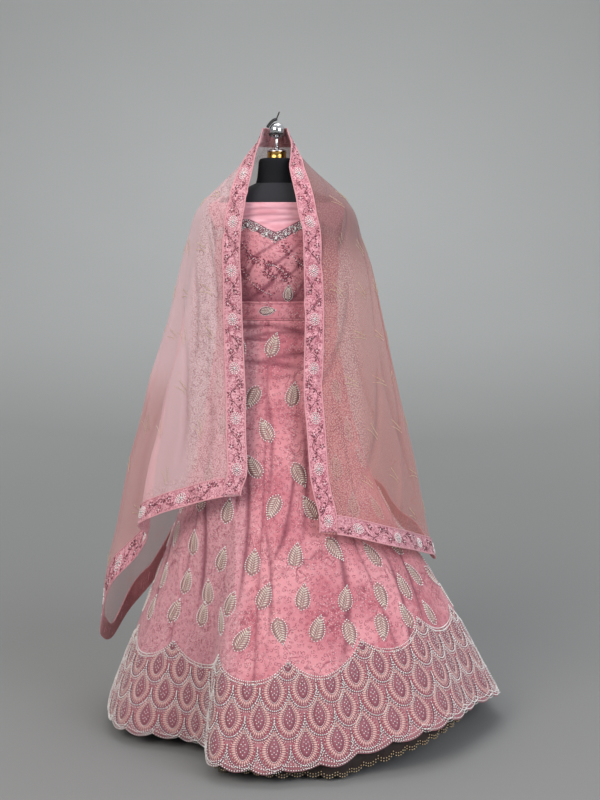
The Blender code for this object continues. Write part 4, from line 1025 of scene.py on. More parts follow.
def hem_border(settings, finishes):
    """Four staggered rows of hanging petals, laid like fish scales. Each has a bead outline on a
    dark line, a rose band, a corded band, a second line of beads and a heart with its beads; bead
    strings fill the tips between the petals above. The beaded scallop line closes the band."""
    table = border_run()
    petals = BORDER_ARCS * PETALS_PER_ARC
    pitch = table[1][-1] / petals
    start = np.interp(BORDER_CUSP_ANGLE, *table)
    outline, fill, hearts = Motifs(skirt_cloth), Motifs(skirt_cloth), Motifs(skirt_cloth)
    bands = {band.name: [] for band in PETAL_BANDS}
    edge = np.linspace(-1, 1, PETAL_EDGE_BEADS)
    ring = np.linspace(-0.97, 0.97, PETAL_RING_BEADS)
    core, strings, low = (np.array(spots) for spots in (HEART_BEADS, TIP_BEADS, EDGE_FILL_BEADS))
    for row in range(4):
        bottom = PETAL_ROW_BOTTOM + PETAL_ROW_STEP * row
        for k in range(petals):
            run = start + pitch * (k + (0.5 if row % 2 == 0 else 0.0))
            here = skirt_hem_smooth(angle_at(run, table)) + bottom / SLOPE_RUN
            x, y = petal_outline(edge, pitch, PETAL_SHOULDER)
            outline.add(table, run, here, x, y, 90.0 * edge)
            x, y = petal_outline(edge[3:-3], pitch, PETAL_SHOULDER)
            hearts.add(table, run, here, x * 1.06, y - 0.0062, 90.0)
            for inset in (BAND_RING_INSET, HEART_RING_INSET):
                x, y = petal_loop(ring, pitch, inset)
                hearts.add(table, run, here, x, y, 90.0)
            fill.add(table, run, here, core[:, 0], PETAL_WIDEST + core[:, 1], 90.0)
            fill.add(table, run, here, strings[:, 0], strings[:, 1], 90.0)
            if row == 0:
                fill.add(table, run, here, pitch / 2 + low[:, 0], low[:, 1], 90.0)
            for band in PETAL_BANDS:
                bands[band.name].append(petal_band(table, run, here, pitch, band))
    made = []
    bead = settings.hem_bead_diameter / 2
    for name, motifs, size in (("hem_petal_outlines", outline, bead), ("hem_fill_beads", fill, bead * 0.86),
            ("hem_heart_beads", hearts, bead * 0.70)):
        points, along, out = below_line(motifs, table)
        made.append(grains(name, points, along, out, size, finishes["silver"], PETAL_BEAD_LIFT))
    for band in PETAL_BANDS:
        angle, z, uv = (np.stack([patch[part] for patch in bands[band.name]]) for part in range(3))
        top = skirt_hem_smooth(angle) + border_rise(angle, table) - 0.004
        keep = (z < top).mean(axis=(1, 2)) > 0.25
        angle, z, uv, top = angle[keep], z[keep], uv[keep], top[keep]
        points, _, _, out = on_cloth(skirt_cloth, angle, np.minimum(z, top))
        made.append(patches(f"hem_{band.name}_bands", points + out * band.lift, uv, finishes[band.finish],
                band.wall))
    made += scallop_lines(settings, finishes, table)
    return made


def skirt_hem_smooth(angle):
    """The hem without its small scallops."""
    return column(SKIRT_HEM, "z", "angle", np.asarray(angle) % 360.0)


def petal_band(table, run, here, pitch, band):
    """A band between two insets of a petal's drop: angles, heights and lengths along it."""
    t = np.linspace(-1, 1, 23)[None, :]
    share = np.linspace(0, 1, 3 if band.thick > 0.010 else 2)[:, None]
    inset = band.inset + band.thick * (1 - share)
    if band.open:
        across, up = petal_outline(t, pitch - 2 * inset, PETAL_SHOULDER - inset)
        up = up + inset
    else:
        across, up = petal_loop(t, pitch, inset)
    middle = np.diff([across.mean(axis=0), up.mean(axis=0)], axis=1)
    length = np.concatenate([[0.0], np.cumsum(np.hypot(*middle))])
    uv = np.stack([np.broadcast_to(length, across.shape), share * band.thick + 0 * across], -1)
    return angle_at(run + across, table), here + up / SLOPE_RUN, uv


def below_line(motifs, table):
    """The placed points of a motif that lie under the scallop line."""
    angle, z = np.concatenate(motifs.angle), np.concatenate(motifs.z)
    keep = z < skirt_hem_smooth(angle) + border_rise(angle, table) - 0.003
    points, along, out = motifs.placed()
    return points[keep], along[keep], out[keep]


def scallop_lines(settings, finishes, table):
    """The line of silver beads above the petals, and the beads that follow the scalloped hem."""
    bead = settings.hem_bead_diameter / 2
    angle = angle_at(np.arange(0, table[1][-1], bead * 2.7), table)
    line = skirt_hem_smooth(angle) + border_rise(angle, table)
    edge = skirt_hem(angle)
    made = []
    for name, two_rows in (("hem_scallop_line", (line, line - 0.0068)),
            ("hem_edge_beads", (edge + 0.0035, edge + 0.0125))):
        points, along, _, out = on_cloth(skirt_cloth, *joined((angle, angle), two_rows))
        made.append(grains(name, points, along, out, bead, finishes["silver"], SCALLOP_BEAD_LIFT))
    return made


def under_beads(settings, finishes):
    """Two lines of gold beads along the brown layer's scallops."""
    angle = np.arange(0, 360.0, 0.62)
    z = under_edge(angle)
    points = push_out(folded_skirt(angle, np.maximum(z, UNDER_RING_Z)), -0.0195 + 0 * angle)
    spots, outs = [], []
    out = points * (1, 1, 0) / np.linalg.norm(points[:, :2], axis=-1, keepdims=True)
    for rise in (0.0035, 0.0105):
        row = points.copy()
        row[:, 2] = z + rise
        spots.append(row)
        outs.append(out)
    spots, outs = joined(spots, outs)
    return [grains("under_layer_beads", spots, np.cross(outs, (0.0, 0.0, 1.0)), outs,
            settings.hem_bead_diameter / 2, finishes["gold_bead"])]


def neck_edge(angle):
    """Straight across the chest and back, rising over each shoulder."""
    from_front = np.abs(apart(angle, 0.0))
    from_side = 90.0 - np.abs(from_front - 90.0)
    return NECK_EDGE_Z + SHOULDER_RISE * ease_step(from_side, 58.0, 80.0)


def sweetheart_edge(angle):
    """A V at the centre front that rises to a rounded peak over each cup."""
    away = np.abs(apart(angle, 0.0))
    inside = away < NECK_PEAK_ANGLE
    rise = ease_step(away, 0.0, NECK_PEAK_ANGLE)
    fall = ease_step(away, NECK_PEAK_ANGLE, 62.0)
    share = 0.45 * np.where(inside, away / NECK_PEAK_ANGLE, 1.0) + 0.55 * rise - 0.75 * fall
    return NECK_V_Z + (NECK_PEAK_Z - NECK_V_Z) * share


def armhole(z):
    """How many degrees the armhole cuts in at a height."""
    t = np.clip((z - ARMHOLE_BOTTOM_Z) / (ARMHOLE_TOP_Z - ARMHOLE_BOTTOM_Z), 0.0, 1.0)
    return ARMHOLE_CUT * np.sin(math.pi * t) ** 0.7


# Degrees from the middle of a choli part to its side seam
CHOLI_HALF_TURN = 89.7


def choli_part(name, centre, top, bottom, material, node, slot, rows=60):
    """A front, yoke or back of the choli between two edges, narrowed by the armholes."""
    across = np.linspace(-1, 1, 121)[None, :]
    down = np.linspace(0, 1, rows)[:, None]
    angle = centre + across * CHOLI_HALF_TURN
    for _ in range(6):
        high, low = top(angle) - 0.0004, bottom(angle) + 0.0004
        z = high + (low - high) * down
        angle = centre + across * (CHOLI_HALF_TURN - armhole(z))
    points = choli_cloth(angle, z)
    uv = np.stack([run_lengths(points, 1) + centre * 0.03, -run_lengths(points, 0) + z[:1]], -1)
    depth = painted_crease_shade(CHOLI_CREASES, points, angle, z, 0.0022)
    # Painted shade in the creases, and on the body cloth a little all over and most towards its lower edge
    low_shade = 0.10 + 0.78 * ease_step(1.22 - z, 0.0, 0.09)
    shade = np.clip(depth + low_shade * (slot == "rose_cloth"), 0, 0.85)
    values = {"tint": 0.12 + 0 * z, "worked": 0 * z, "shade": shade}
    piece = sheet_piece(name, points, material, uv, values, wall=THIN_WALL)
    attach(piece, "root")
    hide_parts(node)
    return piece


def choli_hem(angle):
    """The choli's level lower edge, under the waistband."""
    return CHOLI_BOTTOM_Z + 0 * angle


def choli_pieces(finishes):
    """Body front, plain yoke above the sweetheart edge, and back."""
    choli_part("choli_body", 0.0, sweetheart_edge, choli_hem, finishes["embroidered"],
            "choli_front", "rose_cloth")
    choli_part("choli_yoke_cloth", 0.0, neck_edge, sweetheart_edge, finishes["satin"],
            "choli_yoke", "yoke_satin", rows=28)
    choli_part("choli_back_cloth", 180.0, neck_edge, choli_hem, finishes["embroidered"],
            "choli_back", "rose_cloth")


# Bead curves over the bodice: from an angle and a height to another, with a sag between
Curve = namedtuple("Curve", "start top end bottom sag")
BODICE_CURVES = named_rows(Curve,
    (30, 1.300, -10, 1.205, 0.022), (24, 1.262, -26, 1.178, -0.020), (34, 1.240, 4, 1.168, 0.014),
    (-6, 1.298, -34, 1.238, 0.016), (8, 1.246, -18, 1.172, -0.022), (150, 1.330, 205, 1.200, 0.010),
    (212, 1.330, 158, 1.210, 0.010))


BODICE_LIFT = 0.0010
# Degrees to each side over which the bead band runs, and how far below the edge its lines lie
NECK_BAND_REACH = 62
NECK_BAND_DROPS = (0.0025, 0.0062, 0.0100, 0.0138, 0.0176, 0.0214)
# Stitches that fork from the bodice's curves: their turn in degrees and how far out they lie
VINE_STITCHES = ((35, 0.0060), (-40, 0.0066), (78, 0.0100), (-82, 0.0108), (8, 0.0030), (150, 0.0080))


def neckline(settings, finishes):
    """The bead band, the bead curves across the bodice and its leaf, and the leaf on the waistband."""
    bead = settings.hem_bead_diameter * 0.30
    pieces = neck_band(bead, finishes) + bodice_curves(bead, finishes)
    for name, cloth, run_z, angle_here, lean in (("bodice_leaf", choli_cloth, 1.172, 349.0, 4.0),
            ("waistband_leaf", waist_cloth, 1.126, 8.0, 84.0)):
        pieces += single_leaf(name, cloth, run_z, angle_here, lean, settings, finishes)
    return pieces


def neck_band(bead, finishes):
    """A net of beads on a dark ground under the sweetheart edge, with a row of stones."""
    span = np.linspace(-NECK_BAND_REACH, NECK_BAND_REACH, 175)
    chance = np.random.default_rng(5)
    angle = np.concatenate([span + chance.uniform(-0.25, 0.25, len(span)) for _ in NECK_BAND_DROPS])
    wave = 1 + np.sin(np.radians(span) * 40)
    z = np.concatenate([sweetheart_edge(span) - drop - (0.0012 + 0.10 * drop) * wave
            for drop in NECK_BAND_DROPS])
    z = z + chance.uniform(-0.0010, 0.0010, len(angle))
    gaps = chance.random(len(angle)) < 0.62
    angle, z = angle[gaps], z[gaps]
    ribbon = np.linspace(-NECK_BAND_REACH, NECK_BAND_REACH, 121)[None, :]
    under = np.linspace(0.0008, 0.0238, 5)[:, None]
    at = ribbon + 0 * under
    points, _, _, out = on_cloth(choli_cloth, at, sweetheart_edge(at) - under)
    band_uv = np.stack([at * 0.002, under + 0 * at], -1)[None]
    band = patches("neckline_ground", (points + out * 0.0007)[None], band_uv, finishes["dark_line"], 0.0005)
    points, along, _, out = on_cloth(choli_cloth, angle, z)
    pieces = [grains("neckline_beads", points, along, out, bead, finishes["silver"], 0.0012, fine=True), band]
    at = np.arange(-56, 57, 8.0)
    points, _, upward, out = on_cloth(choli_cloth, at, sweetheart_edge(at) - 0.0165)
    pieces.append(grains("neckline_stones", points, upward, out, (0.0075, 0.0046, 0.0030),
            finishes["stone"], 0.0014, fine=True))
    return pieces


def bodice_curves(bead, finishes):
    """Curved lines of beads over the bodice, with slanted stitches that fork from them."""
    t = np.linspace(0, 1, 34)
    angle = np.concatenate([c.start + (c.end - c.start) * t for c in BODICE_CURVES])
    z = np.concatenate([c.top + (c.bottom - c.top) * t - c.sag * np.sin(np.pi * t) for c in BODICE_CURVES])
    points, along, upward, out = on_cloth(choli_cloth, angle, z)
    beads = grains("bodice_bead_curves", points[::2], along[::2], out[::2], bead, finishes["silver"],
            BODICE_LIFT, fine=True)
    spots, facing, outs = [], [], []
    for turn, reach in VINE_STITCHES:
        lean = np.radians(turn + 25 * np.sin(np.arange(len(angle)) * 2.3))[:, None]
        direction = along * np.cos(lean) + upward * np.sin(lean)
        spots.append(points + direction * reach)
        facing.append(direction)
        outs.append(out)
    spots, facing, outs = joined(spots, facing, outs)
    kept = np.sin(np.arange(len(spots)) * 0.37) + np.sin(np.arange(len(spots)) * 1.9) > 0.35
    vines = grains("bodice_vines", spots[kept], facing[kept], outs[kept], (0.0030, 0.0019, 0.0009),
            finishes["vine"], BODICE_LIFT)
    return [beads, vines]


def waist_cloth(angle, z):
    """The outer face of the waistband."""
    return push_out(section_ring(SKIRT_SECTIONS, angle, z), 0.0032 + 0 * z)


def single_leaf(name, cloth, z, angle, lean, settings, finishes):
    """One leaf on its own, two thirds the size of the skirt's."""
    beads, stitches, veins, grounds = Motifs(cloth), Motifs(cloth), Motifs(cloth), []
    table = cloth_run(cloth, lambda at: z + 0 * at)
    add_leaf(beads, stitches, veins, grounds, table, np.interp(angle, *table), z, lean,
            settings.leaf_length * 0.66, settings.leaf_width * 0.66)
    made = leaf_marks(name, (beads, stitches, veins), (settings.bead_diameter * 0.38,
            (0.0064, 0.0012, 0.0010), (0.0030, 0.0010, 0.0010)), finishes, BODICE_LIFT)
    points, _, _, out = on_cloth(cloth, grounds[0][0][None], grounds[0][1][None])
    uv = np.stack([grounds[0][0], grounds[0][1]], -1)[None]
    made.append(patches(f"{name}_ground", points + out * BODICE_LIFT, uv, finishes["dark_line"], 0.0005))
    return made


def border_turn(z):
    """How many degrees the front border's width takes at a height."""
    reach = column(DUPATTA_SECTIONS, "front", "z", z) * 0.35 + column(DUPATTA_SECTIONS, "left", "z", z) * 0.65
    return np.minimum(np.degrees(BORDER_WIDTH / reach), BORDER_MAX_TURN)


def dupatta_hem(angle):
    """Height of the dupatta's lower edge."""
    return column(DUPATTA_HEM, "z", "angle", np.asarray(angle))


def hem_border_rise(angle):
    """How far above its slanted edge a border of even width ends."""
    slope = (dupatta_hem(angle + 0.5) - dupatta_hem(angle - 0.5)) / (0.40 * math.radians(1.0))
    return BORDER_WIDTH * np.sqrt(1 + np.minimum(slope * slope, 2.0))


def net_grid(counts, rows):
    """Angles and heights of the whole net: rows from the top down, columns from the left front
    edge round the back to the right front edge."""
    down = np.linspace(0, 1, rows)[:, None]
    stops = np.cumsum([0, *counts]) / sum(counts)
    share = np.linspace(0, 1, sum(counts) + 1)
    z = DUPATTA_TOP_Z + (DUPATTA_MEAN_HEM_Z - DUPATTA_TOP_Z) * down + 0 * share[None, :]
    for _ in range(14):
        left = column(DUPATTA_FRONT_EDGES, "left", "z", z[:, 0])
        right = column(DUPATTA_FRONT_EDGES, "right", "z", z[:, -1])
        inner_left = left + border_turn(z[:, 0])
        inner_right = right - border_turn(z[:, -1])
        near_left = np.maximum(LEFT_BACK_CORNER, inner_left + CORNER_CLEAR)
        near_right = np.minimum(RIGHT_BACK_CORNER, inner_right - CORNER_CLEAR)
        marks = np.stack([left, inner_left, near_left, near_right, inner_right, right], 1)
        angle = np.stack([np.interp(share, stops, row) for row in marks])
        low = dupatta_hem(angle[-1])[None, :]
        z = DUPATTA_TOP_Z + (low - DUPATTA_TOP_Z) * down
    return angle, z


def edge_distance(angle, z):
    """Rough distance in metres from the dupatta's nearest edge."""
    radius = axis_distance(section_ring(DUPATTA_SECTIONS, angle, z))
    from_left = np.radians(angle - column(DUPATTA_FRONT_EDGES, "left", "z", z)) * radius
    from_right = np.radians(column(DUPATTA_FRONT_EDGES, "right", "z", z) - angle) * radius
    return np.minimum(from_left, from_right), (z - dupatta_hem(angle)) * 0.85


def net_sheet(material):
    """The net as one sheet, hung from behind the ball, open at the front."""
    angle, z = net_grid((5, 84, 96, 64, 5), 134)
    points, _, _, out = on_cloth(net_cloth, angle, z)
    points = points + out * 0.0005
    from_front, from_hem = edge_distance(angle, z)
    worked = np.maximum(1 - ease_step(from_front, 0.120, 0.165),
            0.65 * (1 - ease_step(from_hem, 0.055, 0.080)))
    tint = np.clip(1.0 - ease_step(angle, 120.0, 200.0), 0.0, 1.0)
    tint = tint * (1 - 0.7 * ease_step(angle, 58.0, 74.0) * ease_step(1.0 - z, 0.0, 0.15))
    # Painted shade high on the back towards the right shoulder, added to the creases' painted shade
    shoulder = ease_step(z, 1.19, 1.34) * ease_step(angle, 170.0, 220.0)
    shade = np.clip(0.6 * painted_crease_shade(NET_CREASES, points, angle, z, 0.008) + 0.70 * shoulder, 0.0, 0.8)
    across = np.minimum(run_lengths(points, 1), 2.0 + 0 * z)
    back = run_lengths(points[:, ::-1], 1)[:, ::-1]
    uv = np.stack([np.where(angle < 180.0, across, 6.0 - back), -run_lengths(points, 0) + 0 * z], -1)
    net = sheet_piece("dupatta_net", points, material, uv, {"tint": tint, "worked": worked, "shade": shade})
    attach(net, "root")
    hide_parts("dupatta_left", "dupatta_back", "dupatta_right")
    return net


# One stretch of border: spot turns a length along it in metres and a share of its width, from
# -0.5 to 0.5, into an angle and a height
# A strip's tint is painted light: how much paler it is drawn, most on the left
Strip = namedtuple("Strip", "name length spot slot node tint")


def front_strip(side):
    """A front edge's border: the first coordinate runs down from the top, the second goes from
    the free edge (-0.5) to the inner one (0.5)."""
    edge_angle = column(DUPATTA_FRONT_EDGES, side, "z", np.array([0.7]))[0]
    low = float(dupatta_hem(np.array([edge_angle]))[0])
    way = 1.0 if side == "left" else -1.0

    def spot(run, across):
        z = DUPATTA_TOP_Z - run
        angle = column(DUPATTA_FRONT_EDGES, side, "z", z) + way * border_turn(z) * (across + 0.5)
        return angle, np.maximum(z, low + 0 * angle)
    return Strip(f"border_{side}", DUPATTA_TOP_Z - low, spot, "border_velvet", (f"dupatta_border_{side}",),
            0.9 if side == "left" else 0.0)


# Where the two front edges meet the lower one
LEFT_FOOT, RIGHT_FOOT = Edge(11.6, 0.66), Edge(344.2, 0.58)


def hem_strip():
    """The border along the whole lower edge, from inside one front border to the other."""
    first = LEFT_FOOT.angle + float(border_turn(np.array([LEFT_FOOT.z]))[0])
    last = RIGHT_FOOT.angle - float(border_turn(np.array([RIGHT_FOOT.z]))[0])
    angle = np.linspace(first, last, 1200)
    points = net_cloth(angle, dupatta_hem(angle) + 0.02)
    run = np.concatenate([[0.0], np.cumsum(np.linalg.norm(np.diff(points, axis=0), axis=-1))])

    def spot(along, across):
        at = np.interp(along, run, angle)
        return at, dupatta_hem(at) + hem_border_rise(at) * (across + 0.5)
    return Strip("border_hem", float(run[-1]), spot, "border_velvet",
            ("dupatta_border_end_left", "dupatta_border_back", "dupatta_border_end_right"), 0.5)


def top_strip():
    """The short border across the top edge, behind the ball."""
    first = DUPATTA_FRONT_EDGES[-1].left + BORDER_MAX_TURN
    last = DUPATTA_FRONT_EDGES[-1].right - BORDER_MAX_TURN

    def spot(along, across):
        at = first + (last - first) * along / TOP_STRIP_LENGTH
        return at, DUPATTA_TOP_Z - TOP_STRIP_DROP * (0.5 - across)
    return Strip("border_top", TOP_STRIP_LENGTH, spot, "border_velvet", ("dupatta_border_top",), 0.0)


def strip_frame(strip, run, across):
    """Points of a border with the directions along it, across it and out of it."""
    def at(r, a):
        return net_cloth(*strip.spot(r, a))
    point = at(run, across)
    along = unit(at(run + 0.001, across) - at(run - 0.001, across))
    over = unit(at(run, across + 0.02) - at(run, across - 0.02))
    out = unit(np.cross(along, over))
    inward = (out[..., :2] * point[..., :2]).sum(-1, keepdims=True) < 0
    return point, along, over, np.where(inward, -out, out)


BORDER_LIFT = 0.0018
ORNAMENT_LIFT = BORDER_LIFT + 0.0006
# The top border: its length where it shows, how far down it lies, and its whole flat length
TOP_STRIP_LENGTH, TOP_STRIP_DROP, TOP_STRIP_FLAT = 0.06, 0.0485, 0.0850
PIPING_RADIUS = 0.0017
# The border's stem: half its wave's length in metres, and its sway as a share of the width
STEM_HALF_WAVE, STEM_SWAY = 0.042, 0.26


def border_strip(strip, material, piping):
    """The velvet strip, crinkled a little along its length, and a cord of piping on each edge."""
    steps = max(int(strip.length / 0.0055), 12)
    run = np.linspace(0.0012, strip.length - 0.0012, steps)[:, None]
    across = np.linspace(-0.5, 0.5, 15)[None, :]
    wave = 0.0008 * np.sin(run * 410 + 2.2 * np.sin(run * 87)) * np.cos(across * math.pi) \
        + 0.0005 * np.sin(run * 760 + across * 9)
    point, _, _, out = strip_frame(strip, run + 0 * across, across + 0 * run)
    points = point + out * (BORDER_LIFT + wave)[..., None]
    uv = np.stack([across * BORDER_WIDTH + 0 * run, run + 0 * across], -1)
    if looks_inwards(points, out):
        points, uv = points[:, ::-1], uv[:, ::-1]
    # Painted shade for the crinkles' troughs, kept as a value on the strip; the velvet finish does not read
    # it
    shade = np.clip(-wave / 0.0013, 0, 0.6)
    values = {"tint": strip.tint + 0 * run + 0 * across, "shade": shade}
    piece = sheet_piece(f"velvet_{strip.name}", points, material, uv, values, wall=CLOTH_WALL)
    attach(piece, "root")
    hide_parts(*strip.node)
    cords = []
    for edge in (-0.48, 0.48):
        middle, _, over, normal = strip_frame(strip, run[:, 0], edge + 0 * run[:, 0])
        turn = np.linspace(0, 2 * np.pi, 9)[:-1]
        middle = middle + normal * ORNAMENT_LIFT
        cord = middle[:, None] + PIPING_RADIUS * (np.cos(turn)[None, :, None] * over[:, None]
                + np.sin(turn)[None, :, None] * normal[:, None])
        cords.append(tube(f"velvet_{strip.name}_piping_{'free' if edge < 0 else 'inner'}", cord, piping))
    return piece, cords


def looks_inwards(points, out):
    """Whether a grid's faces would look inwards, so that its columns have to be reversed."""
    level = points[0, 1] - points[0, 0]
    downward = points[1, 0] - points[0, 0]
    return np.dot(np.cross(level, downward), out[0, 0]) <= 0


def tube(name, rings, material):
    """A cord: a ring of points at each step along it, closed round and at both ends."""
    faces = grid_faces(*rings.shape[:2], closed=True)
    piece = new_piece(name, rings, faces, material)
    close_ends(piece)
    return piece


def stem_marks(strip, repeat):
    """A waving stem between the ovals, with pairs of leaves and florets of five petals, and the
    bead in each floret: rows of place, share of the width, turn, half length and half width."""
    stem, petals, beads = [], [], []
    steps = np.arange(0.008, strip.length - 0.006, 0.0040)
    in_repeat = (steps / repeat) % 1.0
    between = np.abs(in_repeat - 0.5) < 0.36
    steps = steps[between]
    sway = np.sin(steps / STEM_HALF_WAVE * np.pi)
    slope = np.cos(steps / STEM_HALF_WAVE * np.pi)
    for at, wave, lean in zip(steps, sway, slope):
        stem.append((at, STEM_SWAY * wave, math.atan(lean * 0.9), 0.0028, 0.0013))
    for number, at in enumerate(np.arange(0.010, strip.length - 0.008, 0.0100)):
        if abs((at / repeat) % 1.0 - 0.5) > 0.37:
            continue
        side = -1 if number % 2 else 1
        wave = STEM_SWAY * math.sin(at / STEM_HALF_WAVE * math.pi)
        if number % 3 == 0:
            centre = -0.24 * side if abs(wave) < 0.12 else -wave
            for petal in range(5):
                turn = petal * 2 * math.pi / 5 + at * 40
                petals.append((at + 0.0052 * math.cos(turn), centre + 0.0052 * math.sin(turn) / BORDER_WIDTH,
                        turn, 0.0032, 0.0022))
            beads.append((at, centre))
        else:
            for turn in (0.7 * side, 2.2 * side):
                petals.append((at + 0.005 * math.cos(turn), wave + 0.0075 * math.sin(turn) / BORDER_WIDTH,
                        turn, 0.0048, 0.0020))
    return stem, petals, beads


def border_ornaments(strip, settings, finishes):
    """The border's embroidery: a waving maroon stem with leaves and five-petalled florets, and
    silver beaded ovals at the set spacing."""
    repeat = settings.medallion_spacing
    stem, petals, beads = stem_marks(strip, repeat)
    stones = []
    middle = np.arange(0.0, strip.length + repeat, repeat)
    for at in middle[(middle > 0.018) & (middle < strip.length - 0.018)]:
        for ring_size, count in ((1.0, 16), (0.68, 11), (0.36, 6)):
            turn = np.linspace(0, 2 * np.pi, count, endpoint=False)
            beads += list(zip(at + 0.0140 * ring_size * np.cos(turn),
                    0.0110 * ring_size * np.sin(turn) / BORDER_WIDTH))
        stones.append((at, 0.0))
    made = []
    for name, rows in (("stem", stem), ("petals", petals)):
        if not rows:
            continue
        run, across, turn, length, width = np.array(rows).T
        point, along, over, out = strip_frame(strip, run, across)
        facing = along * np.cos(turn)[:, None] + over * np.sin(turn)[:, None]
        sizes = np.stack([length, width, 0.0008 + 0 * width], 1)
        made.append(grains(f"velvet_{strip.name}_{name}", point, facing, out, sizes, finishes["maroon"],
                ORNAMENT_LIFT))
    bead = settings.border_bead_diameter / 2
    for name, rows, size, finish in (("beads", beads, bead, "silver"),
            ("stones", stones, (0.0050, 0.0032, 0.0024), "stone")):
        if not rows:
            continue
        run, across = np.array(rows).T
        point, along, _, out = strip_frame(strip, run, across)
        made.append(grains(f"velvet_{strip.name}_{name}", point, along, out, size, finishes[finish],
                ORNAMENT_LIFT, fine=True))
    return made


# Half the length of a sprig, and how far its stitches stay from the front and the lower edge
SPRIG_REACH, SPRIG_FRONT_CLEAR, SPRIG_HEM_CLEAR = 0.017, 0.065, 0.075


def net_sprigs(finishes):
    """Pale gold sprigs scattered on the net: each a fern of slanted stitches over a bent stem."""
    chance = np.random.default_rng(11)
    angle, z = [], []
    for row, high in enumerate(np.arange(1.42, 0.30, -0.120)):
        for at in np.arange(24.0 + (row % 2) * 10.0, 340.0, 20.0):
            here = at + chance.uniform(-2.0, 2.0)
            level = high + chance.uniform(-0.012, 0.012)
            front, hem = edge_distance(np.array([here]), np.array([level]))
            if front[0] > SPRIG_FRONT_CLEAR and hem[0] > SPRIG_HEM_CLEAR:
                angle.append(here)
                z.append(level)
    angle, z = np.array(angle), np.array(z)
    points, level, upward, out = on_cloth(net_cloth, angle, z)
    lean = np.radians(chance.uniform(20.0, 80.0, len(angle)))[:, None]
    stem_way = level * np.cos(lean) + upward * np.sin(lean)
    side_way = upward * np.cos(lean) - level * np.sin(lean)
    spots, facing, outs = [], [], []
    for step in np.linspace(-1.0, 1.0, 8):
        spots.append(points + stem_way * SPRIG_REACH * step + side_way * 0.0050)
        facing.append(stem_way * 0.62 + side_way * 0.78)
        outs.append(out)
        spots.append(points + stem_way * (SPRIG_REACH * step - 0.008)
                - side_way * (0.0025 + 0.010 * (step * 0.5 + 0.5) ** 2))
        facing.append(stem_way - side_way * 0.6 * (step * 0.5 + 0.5))
        outs.append(out)
    spots, facing, outs = joined(spots, facing, outs)
    return [grains("dupatta_sprigs", spots, facing, outs, (0.0036, 0.0011, 0.0008),
            finishes["gold_thread"], 0.0007)]


def form_torso(material):
    """The limbless torso: the same sections as its solid, with a seam down each side of the front
    and the back, and closed at the hips and at the neck."""
    angle = np.linspace(0, 360, 144, endpoint=False)[None, :]
    z = np.concatenate([np.linspace(1.4598, 1.37, 26), np.linspace(1.365, 0.8404, 70)])[:, None]
    points = torso_ring(angle, z, FORM_SECTIONS)
    seam = sum(np.exp(-(apart(angle, at) / 0.9) ** 2) for at in (4.0, 40.0, 90.0, 140.0, 220.0, 270.0, 320.0))
    points = push_out(points, -0.0006 * seam + 0 * z)
    uv = np.stack([np.radians(angle + 0 * z) * 0.16, z + 0 * angle], -1)
    faces = grid_faces(*points.shape[:2], closed=True)
    torso = new_piece("form_torso_cloth", points, faces, material, uv.reshape(-1, 2)[faces])
    close_ends(torso)
    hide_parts("form_torso")
    return [torso]


BALL_RADIUS, BALL_Z = 0.0215, 1.5990


def form_top(finishes):
    """Neck, gold ring, chrome cap, stem and ball, each a turned profile with rounded edges."""
    neck = [(0.0, 1.5260), (0.038, 1.5260), (0.0425, 1.5252), (0.0455, 1.5230), (0.0475, 1.5195),
            (0.0485, 1.5150), (0.0492, 1.5080), (0.0500, 1.5000), (0.0508, 1.4900), (0.0525, 1.4750),
            (0.0560, 1.4603), (0.0, 1.4603)]
    ring_profile = [(0.0, 1.5430), (0.0252, 1.5430), (0.0260, 1.5424), (0.0260, 1.5400), (0.0254, 1.5390),
            (0.0254, 1.5300), (0.0260, 1.5290), (0.0260, 1.5268), (0.0252, 1.5263), (0.0, 1.5263)]
    cap = [(0.0, 1.5510), (0.0065, 1.5510), (0.0120, 1.5506), (0.0180, 1.5496), (0.0228, 1.5480),
            (0.0255, 1.5462), (0.0266, 1.5446), (0.0266, 1.5439), (0.0258, 1.5433), (0.0, 1.5433)]
    stem = [(0.0, 1.5772), (0.0045, 1.5772), (0.0045, 1.5660), (0.0058, 1.5640), (0.0045, 1.5620),
            (0.0045, 1.5560), (0.0070, 1.5530), (0.0062, 1.5513), (0.0, 1.5513)]
    turn = np.linspace(0.0, np.pi, 33)
    ball = [(BALL_RADIUS * math.sin(t), BALL_Z + BALL_RADIUS * math.cos(t)) for t in turn]
    made = []
    for name, profile, slot, node in (("neck_cloth", neck, "black_jersey", "form_neck"),
            ("gold_ring", ring_profile, "gold", "neck_ring"), ("chrome_cap", cap, "chrome", "neck_cap"),
            ("chrome_stem", stem, "chrome", "finial_stem"), ("chrome_ball", ball, "chrome", "finial_ball")):
        piece = turned(name, profile, finishes[slot])
        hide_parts(node)
        made.append(piece)
    return made


def ball_tie(finishes):
    """The black beaded tie round the ball, with its end standing up: beads along a short curve."""
    t = np.linspace(0, 1, 22)
    centre = np.array([0.0, 0.0, BALL_Z])
    slant = np.radians(205 - 150 * t)
    band = np.stack([np.cos(slant) * 0.80, -0.62 + 0 * t, np.sin(slant) * 0.28 - 0.52], 1)
    band = 0.0232 * band / np.linalg.norm(band, axis=1, keepdims=True) + centre
    side = np.stack([-0.0205 + 0.0190 * t, -0.0090 + 0.0060 * t, 1.6080 + 0.0170 * np.sin(t * 1.5)], 1)
    tail = np.stack([-0.0015 + 0.0080 * t, -0.0030 + 0 * t, 1.6250 + 0.0200 * t], 1)
    spots = np.concatenate([band, side, tail])
    out = unit(spots - centre)
    along = unit(np.cross(out, (0.0, 1.0, 0.0)))
    size = np.repeat([0.0032, 0.0048, 0.0022], len(t))[:, None] * np.array([[1.0, 1.0, 0.9]])
    return grains("ball_tie", spots, along, out, size, finishes["black_bead"], fine=True)


